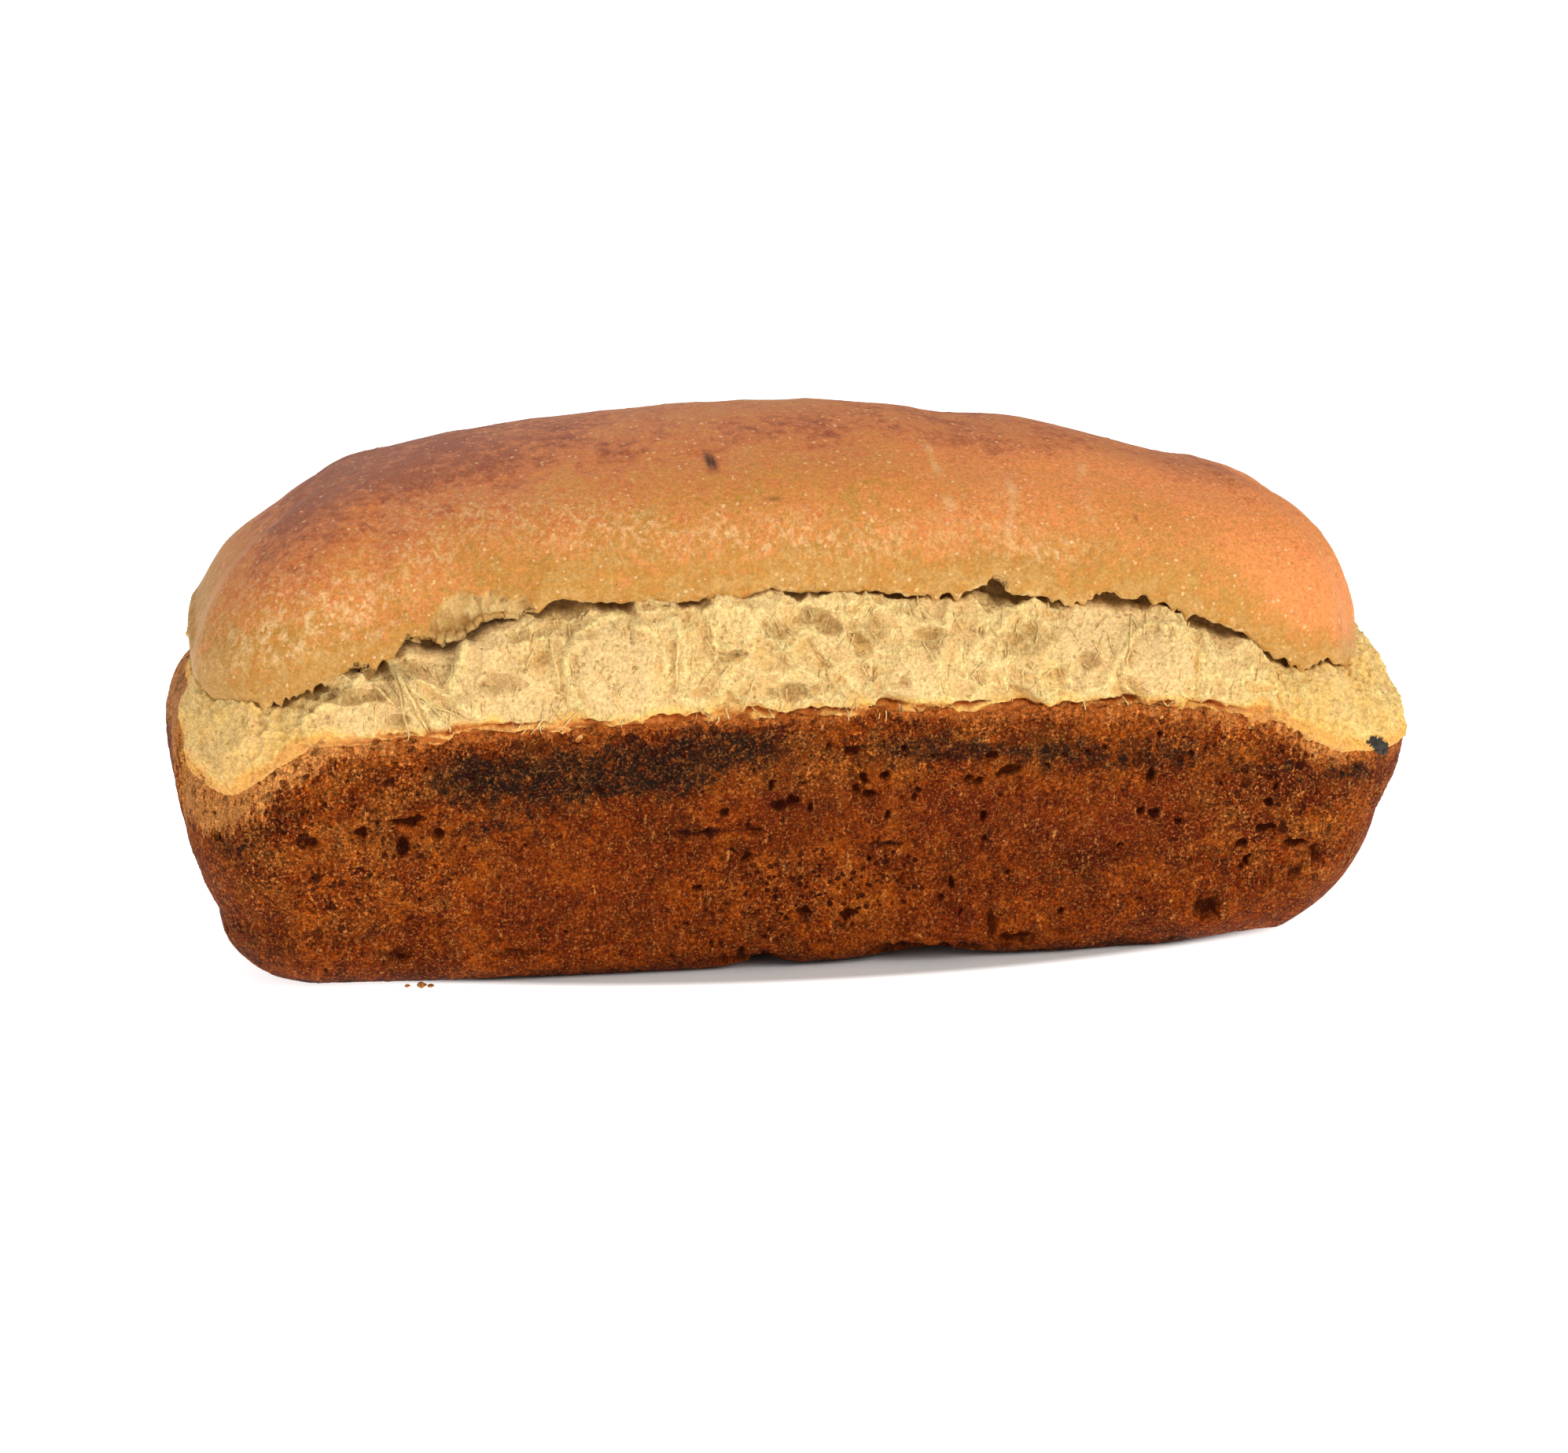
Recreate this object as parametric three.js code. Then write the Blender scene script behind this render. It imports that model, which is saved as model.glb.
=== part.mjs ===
// A sweet white loaf baked in a tin, whole and uncut, as one solid standing on its flat underside.
// Millimetres, +Z up. X runs along the loaf and Y across it, with the torn long side that faces -Y in front.
// The origin is the middle of the underside.
//
// The skin is a grid. Columns go round the plan, anticlockwise seen from above, and rows climb from the
// middle of the underside over the tin crust, the torn crumb and the lifted top crust to the crest.
import * as THREE from "three";
import { mergeVertices } from "three/addons/utils/BufferGeometryUtils.js";

// Driving dimensions.
const LENGTH = 292; // over the tin crust at its widest
const WIDTH = 112; // the same, across
const HEIGHT = 124; // from the underside to the crest
const TIN_HEIGHT = 62; // height at which the tin's walls ended
const TIN_TAPER = 10; // how far those walls lean out from the underside to there
const CORNER_RADIUS = 29; // plan radius of the upright corners at that height
const RAKE_RIGHT = 15; // how far the underside stops short of the tin's corner at +X, where dough didn't reach
const RAKE_LEFT = 1.5; // the same at -X
const RAKE_BEND = 1.3; // how the rake fades from the underside up to the tin's edge: 1 is a straight line
const RAKE_REACH = 3; // and how it gathers towards the loaf's ends: 1 would spread it evenly
const CURL_RADIUS = 25; // near its torn edge the crust curls inwards on this radius
const CRUST_STEP = 1.3; // the torn edge of the tin crust stands this far outside the crumb
const LIP_THICKNESS = 2.0; // the torn lower edge of the top crust
const LIP_TUCK = 1.6; // how far that edge curls in under the cap's flank
const CRUST_RISE = 0.4; // the crumb starts this far above the crust's torn edge
const CAP_HOLLOW = 0.5; // the cap's underside rises this far above its lip
const LEAST_GAP = 0.5; // between the crumb and the top crust, where the cleft is nearly shut

// The plan's core: every level of the loaf is this rectangle grown by a radius. The way round it is measured
// along the tin's edge, anticlockwise from the middle of the front.
const CORE_X = LENGTH / 2 - CORNER_RADIUS;
const CORE_Y = WIDTH / 2 - CORNER_RADIUS;
const QUARTER = (Math.PI / 2) * CORNER_RADIUS; // round one corner
const WAY = 4 * (CORE_X + CORE_Y + QUARTER);
const TURN_X = 0.64 * CORE_X; // where the crusts begin to turn down towards the ends

// Columns on each stretch of the plan.
const SIDE_COLUMNS = 48;
const CORNER_COLUMNS = 8;
const END_COLUMNS = 10;

// Rows on each stretch of a column.
const UNDER_SHARE = 0.75; // a row on the underside, this share of the way out from its middle
const FOOT_ROWS = 3;
const WALL_ROWS = 7;
const CRUMB_ROWS = 8;
const LIP_ROWS = 3;
const DOME_ROWS = 12;

// Sizes that change round the loaf, at sixteen stations: on each long side its middle, the two points
// where the crusts begin to turn down and its two ends, then the middle of each corner and of each end.
// In order: front, front right, front's right end, corner, right end, corner, back's right end, back right,
// back, back left, back's left end, corner, left end, corner, front's left end, front left.
const ROUND = {
  // Radius of the crust's outline at the tin's edge.
  rimRadius: [29, 29, 29, 29, 28.5, 28, 28, 28, 28, 28, 28, 26.5, 28, 29, 29, 29],
  // The rounded edge between the underside and the walls.
  footRound: [9, 11.5, 25, 31, 21, 13, 10, 8, 8, 8, 10, 13, 15, 17, 14, 9.5],
  // Height from which it curls in.
  curlFrom: [60, 60, 60, 60, 60, 60, 60, 60, 60, 60, 57, 48, 50, 58, 60, 60],
  // Height of the tin crust's torn top edge, but for its tears.
  rimHeight: [62.5, 61, 57, 56, 56, 59, 61, 62, 62, 63, 66, 71, 70, 63, 60.5, 62],
  // How far the tin crust bulges past the straight wall.
  wallBulge: [0.6, 0.6, 0.8, 1.2, 1.2, 1, 0.8, 0.6, 0.6, 0.6, 0.8, 3.2, 4.2, 3.6, 1.2, 0.6],
  // Height and radius of the top crust's lower edge.
  lipHeight: [89.5, 84, 67, 65.5, 74, 76, 79, 82, 84, 85, 82, 76, 74, 68.5, 71.5, 88],
  lipRadius: [25, 25, 19.5, 13.8, 12.2, 12, 17, 23, 25, 25, 22, 20, 24.5, 26, 26.5, 26],
  // The gap under the lip, and how deep the cleft behind it runs.
  gap: [1.3, 1.4, 0.6, 0.6, 0.9, 0.9, 1.0, 1.3, 1.4, 1.2, 0.9, 0.7, 0.7, 0.7, 0.8, 1.4],
  cleftDepth: [5.5, 6, 3, 2, 1.8, 2, 2.4, 2.8, 3, 2.6, 2, 1.4, 1.4, 1.6, 2, 5.5],
  // How far the torn crumb swells between the crust's edge and the lip.
  crumbBulge: [2.4, 2.4, 2.6, 2.6, 2.8, 2.8, 3, 2.5, 2.5, 2, 1.2, 0.6, 0.6, 1.6, 2, 2.4],
  // How far the cap's flank swells out over its lip.
  capBulge: [2, 2, 2, 1.6, 1.5, 1.4, 1.4, 2, 2, 2, 1.4, 1.8, 1.6, 1.6, 1.8, 2],
  // How full the dome is over its flank: 1 is a cone's straight side, 2 a half circle.
  fullness: [1.8, 1.8, 1.9, 1.75, 1.5, 1.5, 1.5, 1.6, 1.7, 1.6, 1.3, 0.95, 1, 1.45, 1.7, 1.75],
};

// The tears in the tin crust's edge at the front's two corners. Each drops it between two places on the way
// round, easing in before them and out after them.
const RIM_TEARS = [
  { from: CORE_X + 6, to: CORE_X + 40, before: 26, after: 40, drop: 8 },
  { from: WAY - CORE_X - QUARTER + 3, to: WAY - CORE_X - QUARTER + 20, before: 6, after: 28, drop: 15.5 },
];

// Where the lip's torn edge hangs lower in front: the middle along the loaf, the half width and the drop.
const LIP_SAG = { x: -83, width: 12, drop: 5 };

// The crest line runs this far each way from the middle, and falls by these drops on its way.
const CREST_REACH = 90;
const CREST = { dropLeft: 6.8, dropRight: 13, powerLeft: 4, powerRight: 1.9 };
const CREST_DIPS = [
  { x: -58, width: 24, depth: 1.6 },
  { x: 38, width: 12, depth: 1.7 },
];

// Arches under the front edge, where the dough bridged over the tin's floor.
const FOOT_ARCHES = [
  { x: -14, width: 7, height: 2.4 },
  { x: 26, width: 14, height: 2.3 },
];
const LEAST_TURN = 0.5; // plan radius that the underside keeps round the core's corners
const DOME_SQUARE = 2.3; // how squarely the dome turns over at its top
const DOME_CROWD = 1.25; // rows stand closer together on the dome's steep flank
const END_LEAN = 2; // how soon the crest's slope gives way to the dome's own past the crest's ends
const FLANK = 0.4; // share of the dome's reach over which its flank swells
const CRUMB_SQUARE = 0.6; // how squarely the crumb swells: 1 is a half wave

// Relief: size of the pattern and depth.
const DENTS = { size: 46, depth: 1.6, seed: 11 };
const WRINKLES = { pitch: 17, depth: 0.9, seed: 5, from: -6, fade: 20 };
const CELLS = { size: 17, depth: 2.6, stretch: 1.5, sharpness: 4, seed: 23 };
const TIN_SKIN = { size: 9, depth: 0.7, seed: 41 };
const LIP_TEETH = { size: 7, depth: 1.5, seed: 53 };
const FOOT_HOLLOWS = { size: 24, depth: 2.6, threshold: 0.15, seed: 67 };

const MERGE_WITHIN = 1e-3; // points nearer than this are one

// Large odd numbers that scatter a lattice point's x, y, z and seed over the whole range of a 32-bit number.
const HASH_FACTORS = [374761393, 668265263, 1442695041, 1274126177];
const HASH_FOLDS = [2246822519, 3266489917];
const HASH_RANGE = 2 ** 32;

const clamp = (value, low, high) => Math.min(high, Math.max(low, value));
const mix = (a, b, share) => a + (b - a) * share;
const smooth = (t) => t * t * (3 - 2 * t);
// How near x is to a middle: 1 there, falling away smoothly over a width.
const nearness = (x, middle, width) => Math.exp(-(((x - middle) / width) ** 2));

// A number from 0 to 1 for each point of a whole-number lattice, always the same for the same point:
// the point's numbers and the seed are each multiplied by a large odd number, then folded together.
function latticeValue(...place) {
  let h = place.reduce((sum, part, n) => sum ^ Math.imul(part, HASH_FACTORS[n]), 0);
  h = Math.imul(h ^ (h >>> 15), HASH_FOLDS[0]);
  h = Math.imul(h ^ (h >>> 13), HASH_FOLDS[1]);
  return ((h ^ (h >>> 16)) >>> 0) / HASH_RANGE;
}

// Smooth noise from -1 to 1: the lattice values round a point, blended by how near each one is.
function noise(x, y, z, seed) {
  const [i, j, k] = [Math.floor(x), Math.floor(y), Math.floor(z)];
  const [u, v, w] = [smooth(x - i), smooth(y - j), smooth(z - k)];
  const edge = (b, c) => mix(latticeValue(i, j + b, k + c, seed), latticeValue(i + 1, j + b, k + c, seed), u);
  const face = (c) => mix(edge(0, c), edge(1, c), v);
  return 2 * mix(face(0), face(1), w) - 1;
}

// Distances from a point to the nearest and second nearest of the seeds scattered one to a lattice box.
function cellDistances(x, y, z, seed) {
  const [i, j, k] = [Math.floor(x), Math.floor(y), Math.floor(z)];
  let near = Infinity;
  let second = Infinity;
  for (let a = i - 1; a <= i + 1; a++)
    for (let b = j - 1; b <= j + 1; b++)
      for (let c = k - 1; c <= k + 1; c++) {
        const away = Math.hypot(
          a + latticeValue(a, b, c, seed) - x,
          b + latticeValue(a, b, c, seed + 1) - y,
          c + latticeValue(a, b, c, seed + 2) - z,
        );
        second = Math.min(second, Math.max(near, away));
        near = Math.min(near, away);
      }
  return [near, second];
}

// The columns: where each stands on the core's edge, which way it faces, and its place on the way round.
function planColumns() {
  const [front, right, back, left] = [-CORE_Y, CORE_X, CORE_Y, -CORE_X];
  const half = { columns: SIDE_COLUMNS / 2, length: CORE_X };
  const side = { columns: SIDE_COLUMNS, length: 2 * CORE_X };
  const corner = { columns: CORNER_COLUMNS, length: QUARTER };
  const end = { columns: END_COLUMNS, length: 2 * CORE_Y };
  const stretches = [
    { ...half, from: [0, front], to: [right, front], turn: [-90, -90] },
    { ...corner, from: [right, front], to: [right, front], turn: [-90, 0] },
    { ...end, from: [right, front], to: [right, back], turn: [0, 0] },
    { ...corner, from: [right, back], to: [right, back], turn: [0, 90] },
    { ...side, from: [right, back], to: [left, back], turn: [90, 90] },
    { ...corner, from: [left, back], to: [left, back], turn: [90, 180] },
    { ...end, from: [left, back], to: [left, front], turn: [180, 180] },
    { ...corner, from: [left, front], to: [left, front], turn: [180, 270] },
    { ...half, from: [left, front], to: [0, front], turn: [270, 270] },
  ];
  const columns = [];
  let gone = 0;
  for (const { columns: count, length, from, to, turn } of stretches) {
    for (let i = 0; i < count; i++) {
      const share = i / count;
      const angle = THREE.MathUtils.degToRad(mix(turn[0], turn[1], share));
      columns.push({
        core: [mix(from[0], to[0], share), mix(from[1], to[1], share)],
        facing: [Math.cos(angle), Math.sin(angle)],
        place: gone + share * length,
      });
    }
    gone += length;
  }
  return columns;
}

// Where each station lies on the way round.
function stationPlaces() {
  const half = [0, TURN_X, CORE_X, CORE_X + QUARTER / 2, CORE_X + QUARTER + CORE_Y];
  const places = [...half, ...[half[3], half[2], half[1]].map((place) => WAY / 2 - place)];
  return [...places, ...places.map((place) => place + WAY / 2)];
}

// A smooth curve through one value per station, closed round the loaf, that never overshoots a value.
function roundCurve(places, values) {
  const n = places.length;
  const at = (i) => places[((i % n) + n) % n] + Math.floor(i / n) * WAY;
  const value = (i) => values[((i % n) + n) % n];
  const rise = (i) => (value(i + 1) - value(i)) / (at(i + 1) - at(i));
  const slope = (i) => (rise(i - 1) * rise(i) <= 0 ? 0 : (2 * rise(i - 1) * rise(i)) / (rise(i - 1) + rise(i)));
  return (place) => {
    let i = n - 1;
    while (i > 0 && at(i) > place) i--;
    const span = at(i + 1) - at(i);
    const t = (place - at(i)) / span;
    const bend = t * (1 - t) * span * ((1 - t) * slope(i) - t * slope(i + 1));
    return mix(value(i), value(i + 1), smooth(t)) + bend;
  };
}

// How far the crest drops over its reach on one side of the middle, and by which power of the distance.
const crestFall = (x) => (x < 0 ? [CREST.dropLeft, CREST.powerLeft] : [CREST.dropRight, CREST.powerRight]);

// Height of the crest line above the point x of the loaf's length.
function crestHeight(x) {
  const [drop, power] = crestFall(x);
  const dips = CREST_DIPS.reduce((sum, dip) => sum + dip.depth * nearness(x, dip.x, dip.width), 0);
  return HEIGHT - drop * Math.pow(Math.abs(x) / CREST_REACH, power) - dips;
}

// Radius of the tin crust's outside at a height: leaning out to the tin's edge, and curling in near the top.
function wallRadius({ rimRadius, curlFrom }, z) {
  const curl = Math.max(0, z - curlFrom) ** 2 / (2 * CURL_RADIUS);
  return rimRadius - TIN_TAPER * (1 - Math.min(z, TIN_HEIGHT) / TIN_HEIGHT) - curl;
}

// Where a point of the tin's straight walls ends up once the ends are raked in towards the underside.
function raked(x, z) {
  const rake = x < 0 ? RAKE_LEFT : RAKE_RIGHT;
  const low = Math.max(0, 1 - z / TIN_HEIGHT);
  const out = Math.abs(x) / (LENGTH / 2);
  return x - Math.sign(x) * rake * low ** RAKE_BEND * out ** (RAKE_REACH + 1);
}

// How far the foot is lifted at a column by the arches under the front edge.
function archHeight(core, facing) {
  if (facing[1] >= 0) return 0;
  return FOOT_ARCHES.reduce((sum, arch) => sum + arch.height * nearness(core[0], arch.x, arch.width), 0);
}

// One column's profile from the underside to the crest, each point with the skin it belongs to.
function columnProfile({ core, facing }, at) {
  const onCore = (radius, z, skin) => ({
    x: raked(core[0] + facing[0] * radius, z),
    y: core[1] + facing[1] * radius,
    z,
    skin,
  });
  const crestPoint = { x: clamp(core[0], -CREST_REACH, CREST_REACH), y: 0 };
  const points = [{ x: crestPoint.x, y: 0, z: 0, skin: "underside" }];

  // The flat underside, out to where an arch may lift it.
  const footRadius = wallRadius(at, at.footRound);
  const innerRadius = Math.max(LEAST_TURN, footRadius - at.footRound);
  const edge = onCore(innerRadius, 0, "underside");
  points.push({ x: mix(crestPoint.x, edge.x, UNDER_SHARE), y: edge.y * UNDER_SHARE, z: 0, skin: "underside" });
  // The rounded foot, a quarter turn from the underside into the wall.
  const lift = archHeight(core, facing);
  for (let i = 0; i <= FOOT_ROWS; i++) {
    const share = i / FOOT_ROWS;
    const angle = share * (Math.PI / 2);
    const radius = Math.max(innerRadius, footRadius - at.footRound * (1 - Math.sin(angle)));
    const z = at.footRound * (1 - Math.cos(angle)) + lift * (1 - share);
    points.push(onCore(radius, z, i === 0 ? "underside" : "foot"));
  }
  // The tin crust.
  for (let i = 1; i <= WALL_ROWS; i++) {
    const share = i / WALL_ROWS;
    const z = mix(at.footRound, at.rimHeight, share);
    const radius = wallRadius(at, z) + at.wallBulge * Math.sin(Math.PI * share);
    points.push(onCore(radius, z, i < WALL_ROWS ? "wall" : "rim"));
  }
  // The torn crumb, swelling between the crust's edge and the mouth of the cleft.
  const rimRadius = wallRadius(at, at.rimHeight);
  const mouthHeight = at.lipHeight - at.gap;
  const mouthRadius = at.lipRadius - LIP_TUCK;
  for (let i = 0; i <= CRUMB_ROWS; i++) {
    const share = i / CRUMB_ROWS;
    const swell = at.crumbBulge * Math.sin(Math.PI * share) ** CRUMB_SQUARE;
    const radius = mix(rimRadius - CRUST_STEP, mouthRadius, share) + swell;
    points.push(onCore(radius, mix(at.rimHeight + CRUST_RISE, mouthHeight, share), "crumb"));
  }
  // The cleft: in to its floor under the lip, and half way out again along the cap's underside.
  points.push(onCore(mouthRadius - at.cleftDepth, at.lipHeight - at.gap / 2, "cleft"));
  points.push(onCore(mouthRadius - at.cleftDepth / 2, at.lipHeight + CAP_HOLLOW, "cleft"));
  // The rounded edge of the top crust.
  for (let i = 0; i < LIP_ROWS; i++) {
    const angle = (i / LIP_ROWS) * (Math.PI / 2);
    const radius = at.lipRadius - LIP_TUCK * (1 - Math.sin(angle));
    points.push(onCore(radius, at.lipHeight + LIP_THICKNESS * (1 - Math.cos(angle)), "lip"));
  }
  // The dome, from the lip's outside to the crest.
  const foot = onCore(at.lipRadius, at.lipHeight + LIP_THICKNESS, "dome");
  const top = crestHeight(crestPoint.x);
  const [drop, power] = crestFall(crestPoint.x);
  const slope = (drop * power) / CREST_REACH; // of the crest line where it ends, carried on into the dome's end
  for (let i = 0; i <= DOME_ROWS; i++) {
    const share = (i / DOME_ROWS) ** DOME_CROWD;
    const lift = (1 - (1 - share) ** DOME_SQUARE) ** (1 / at.fullness);
    const swell = at.capBulge * Math.sin(Math.PI * Math.min(1, share / FLANK));
    const x = mix(foot.x, crestPoint.x, share) + facing[0] * swell;
    points.push({
      x,
      y: mix(foot.y, crestPoint.y, share) + facing[1] * swell,
      z: mix(foot.z, top, lift) - slope * Math.max(0, Math.abs(x) - CREST_REACH) * share ** END_LEAN,
      skin: i < DOME_ROWS ? "dome" : "crest",
    });
  }
  return points;
}

// How far each skin's relief moves a point outwards.
const RELIEF = {
  underside: () => 0,
  foot: ({ x, y, z }) => {
    const { size, depth, threshold, seed } = FOOT_HOLLOWS;
    return -depth * Math.max(0, noise(x / size, y / size, z / size, seed) - threshold);
  },
  wall: ({ x, y, z }) => {
    const { size, depth, seed } = TIN_SKIN;
    return -depth * Math.max(0, noise(x / size, y / size, z / size, seed));
  },
  rim: () => 0,
  crumb: ({ x, y, z }) => {
    const { size, depth, stretch, sharpness, seed } = CELLS;
    const [near, second] = cellDistances(x / size / stretch, y / size, z / size, seed);
    return depth * (Math.exp(-sharpness * (second - near)) - 0.5);
  },
  cleft: () => 0,
  lip: () => 0,
  dome: ({ x, y, z }) => {
    const dent = noise(x / DENTS.size, y / DENTS.size, z / DENTS.size, DENTS.seed);
    const wrinkle = noise(x / WRINKLES.pitch, y / WRINKLES.pitch / 3, 0, WRINKLES.seed);
    const behind = smooth(clamp((y - WRINKLES.from) / WRINKLES.fade, 0, 1));
    return DENTS.depth * dent - WRINKLES.depth * behind * Math.abs(wrinkle);
  },
  crest: (point) => RELIEF.dome(point),
};

// How far the tin crust's edge is torn down at a place on the way round.
function rimTear(place) {
  return RIM_TEARS.reduce((sum, { from, to, before, after, drop }) => {
    const away = Math.max((from - place) / before, (place - to) / after);
    return sum + drop * smooth(clamp(1 - away, 0, 1));
  }, 0);
}

// All the columns' profiles, with the tears in the tin crust's edge and in the lip.
function loafGrid() {
  const places = stationPlaces();
  const curves = Object.entries(ROUND).map(([name, values]) => [name, roundCurve(places, values)]);
  return planColumns().map((column) => {
    const at = Object.fromEntries(curves.map(([name, curve]) => [name, curve(column.place)]));
    at.rimHeight -= rimTear(column.place);
    const [x, y] = column.core.map((place, i) => (place + column.facing[i] * CORNER_RADIUS) / LIP_TEETH.size);
    const tooth = LIP_TEETH.depth * noise(x, y, 0, LIP_TEETH.seed);
    at.lipHeight += tooth;
    if (column.facing[1] < 0) at.lipHeight -= LIP_SAG.drop * nearness(column.core[0], LIP_SAG.x, LIP_SAG.width);
    at.gap = Math.max(LEAST_GAP, at.gap + tooth / 2);
    return columnProfile(column, at);
  });
}

// Outward direction of the grid at a column and row, from its neighbours.
function outward(grid, column, row) {
  const n = grid.length;
  const last = grid[0].length - 1;
  const [left, right] = [grid[(column + n - 1) % n][row], grid[(column + 1) % n][row]];
  const [below, above] = [grid[column][Math.max(0, row - 1)], grid[column][Math.min(last, row + 1)]];
  const across = new THREE.Vector3(right.x - left.x, right.y - left.y, right.z - left.z);
  const up = new THREE.Vector3(above.x - below.x, above.y - below.y, above.z - below.z);
  return across.cross(up).normalize();
}

// The grid with its relief, closed under the middle of the underside and over the crest, and centred.
function loafGeometry() {
  const grid = loafGrid();
  const rows = grid[0].length;
  const positions = [];
  grid.forEach((profile, column) => {
    profile.forEach((point, row) => {
      const direction = row === rows - 1 ? new THREE.Vector3(0, 0, 1) : outward(grid, column, row);
      const move = RELIEF[point.skin](point);
      positions.push(point.x + direction.x * move, point.y + direction.y * move, point.z + direction.z * move);
    });
  });
  const index = [];
  const corner = (i) => new THREE.Vector3().fromArray(positions, 3 * i);
  const apart = (i, j) => corner(i).distanceTo(corner(j));
  const vertex = (column, row) => (column % grid.length) * rows + row;
  for (let column = 0; column < grid.length; column++) {
    for (let row = 0; row < rows - 1; row++) {
      const [a, b] = [vertex(column, row), vertex(column + 1, row)];
      const [c, d] = [vertex(column + 1, row + 1), vertex(column, row + 1)];
      if (apart(a, c) < apart(b, d)) index.push(a, b, c, a, c, d);
      else index.push(a, b, d, b, c, d);
    }
  }
  const geometry = new THREE.BufferGeometry();
  geometry.setAttribute("position", new THREE.Float32BufferAttribute(positions, 3));
  geometry.setIndex(index);
  geometry.computeBoundingBox();
  const { min, max } = geometry.boundingBox;
  geometry.translate(-(min.x + max.x) / 2, -(min.y + max.y) / 2, 0);
  return withoutSlivers(mergeVertices(geometry, MERGE_WITHIN));
}

// Drops the triangles that closing the two seams has folded flat, and works out the normals.
function withoutSlivers(geometry) {
  const old = geometry.index.array;
  const kept = [];
  for (let i = 0; i < old.length; i += 3) {
    const [a, b, c] = [old[i], old[i + 1], old[i + 2]];
    if (a !== b && b !== c && c !== a) kept.push(a, b, c);
  }
  geometry.setIndex(kept);
  geometry.computeVertexNormals();
  return geometry;
}

const crust = new THREE.MeshStandardMaterial({ color: 0xc27a3c, roughness: 0.6, metalness: 0 });
const loaf = new THREE.Mesh(loafGeometry(), crust);
loaf.name = "loaf";

const group = new THREE.Group();
group.add(loaf);
export default group;
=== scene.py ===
"""A sweet white loaf baked in a tin: its browned crust, the band of torn crumb and the lifted golden top.

Sizes are millimetres, in the part's own frame, and become metres when a mesh is made. X runs along the
loaf, Y across it with the torn side at -Y, and Z up from the surface that it stands on.
"""
import logging
import math
from dataclasses import dataclass, field
from enum import Enum

import bpy
import numpy as np
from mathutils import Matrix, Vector


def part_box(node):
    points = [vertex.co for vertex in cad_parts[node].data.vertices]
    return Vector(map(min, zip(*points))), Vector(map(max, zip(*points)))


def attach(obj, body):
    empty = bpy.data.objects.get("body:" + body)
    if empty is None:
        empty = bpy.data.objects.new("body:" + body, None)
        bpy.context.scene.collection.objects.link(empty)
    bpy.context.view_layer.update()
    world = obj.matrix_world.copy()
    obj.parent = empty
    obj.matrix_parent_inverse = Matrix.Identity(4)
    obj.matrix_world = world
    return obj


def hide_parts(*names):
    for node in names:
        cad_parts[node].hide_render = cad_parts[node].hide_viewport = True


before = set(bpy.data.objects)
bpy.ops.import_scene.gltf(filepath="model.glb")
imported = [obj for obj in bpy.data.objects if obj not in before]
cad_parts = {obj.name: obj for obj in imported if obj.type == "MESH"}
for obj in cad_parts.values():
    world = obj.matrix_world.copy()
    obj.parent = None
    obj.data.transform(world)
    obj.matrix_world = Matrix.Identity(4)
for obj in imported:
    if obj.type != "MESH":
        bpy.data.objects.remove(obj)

Array = np.ndarray
Colour = tuple[float, float, float]
Sizes = tuple[float, float, float]
Pair = tuple[float, float]
Socket = bpy.types.NodeSocket
MM = 0.001
NODE = "loaf"
BODY = "root"
log = logging.getLogger("loaf")


class Slot(Enum):
    """The record's material slots."""

    TIN_CRUST = "tin_crust"
    TORN_CRUMB = "torn_crumb"
    TOP_CRUST = "top_crust"


def smooth(t: Array) -> Array:
    """Eases a share from 0 to 1: 3t^2 - 2t^3, held at both ends."""
    t = np.clip(t, 0.0, 1.0)
    return t * t * (3 - 2 * t)


def mix(a: Array, b: Array, share: Array) -> Array:
    """The value that lies a share of the way from a to b."""
    return a + (b - a) * share


def hill(x: Array, middle: float, reach: float) -> Array:
    """A smooth hill: 1 in the middle, falling as exp(-((x - middle) / reach)^2)."""
    return np.exp(-(((x - middle) / reach) ** 2))


def end_shares(x: Array, left: Pair, right: Pair) -> tuple[Array, Array]:
    """Shares of the loaf's left and right ends, each given by how far out it begins and its reach."""
    return smooth((-x - left[0]) / left[1]), smooth((x - right[0]) / right[1])


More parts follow.
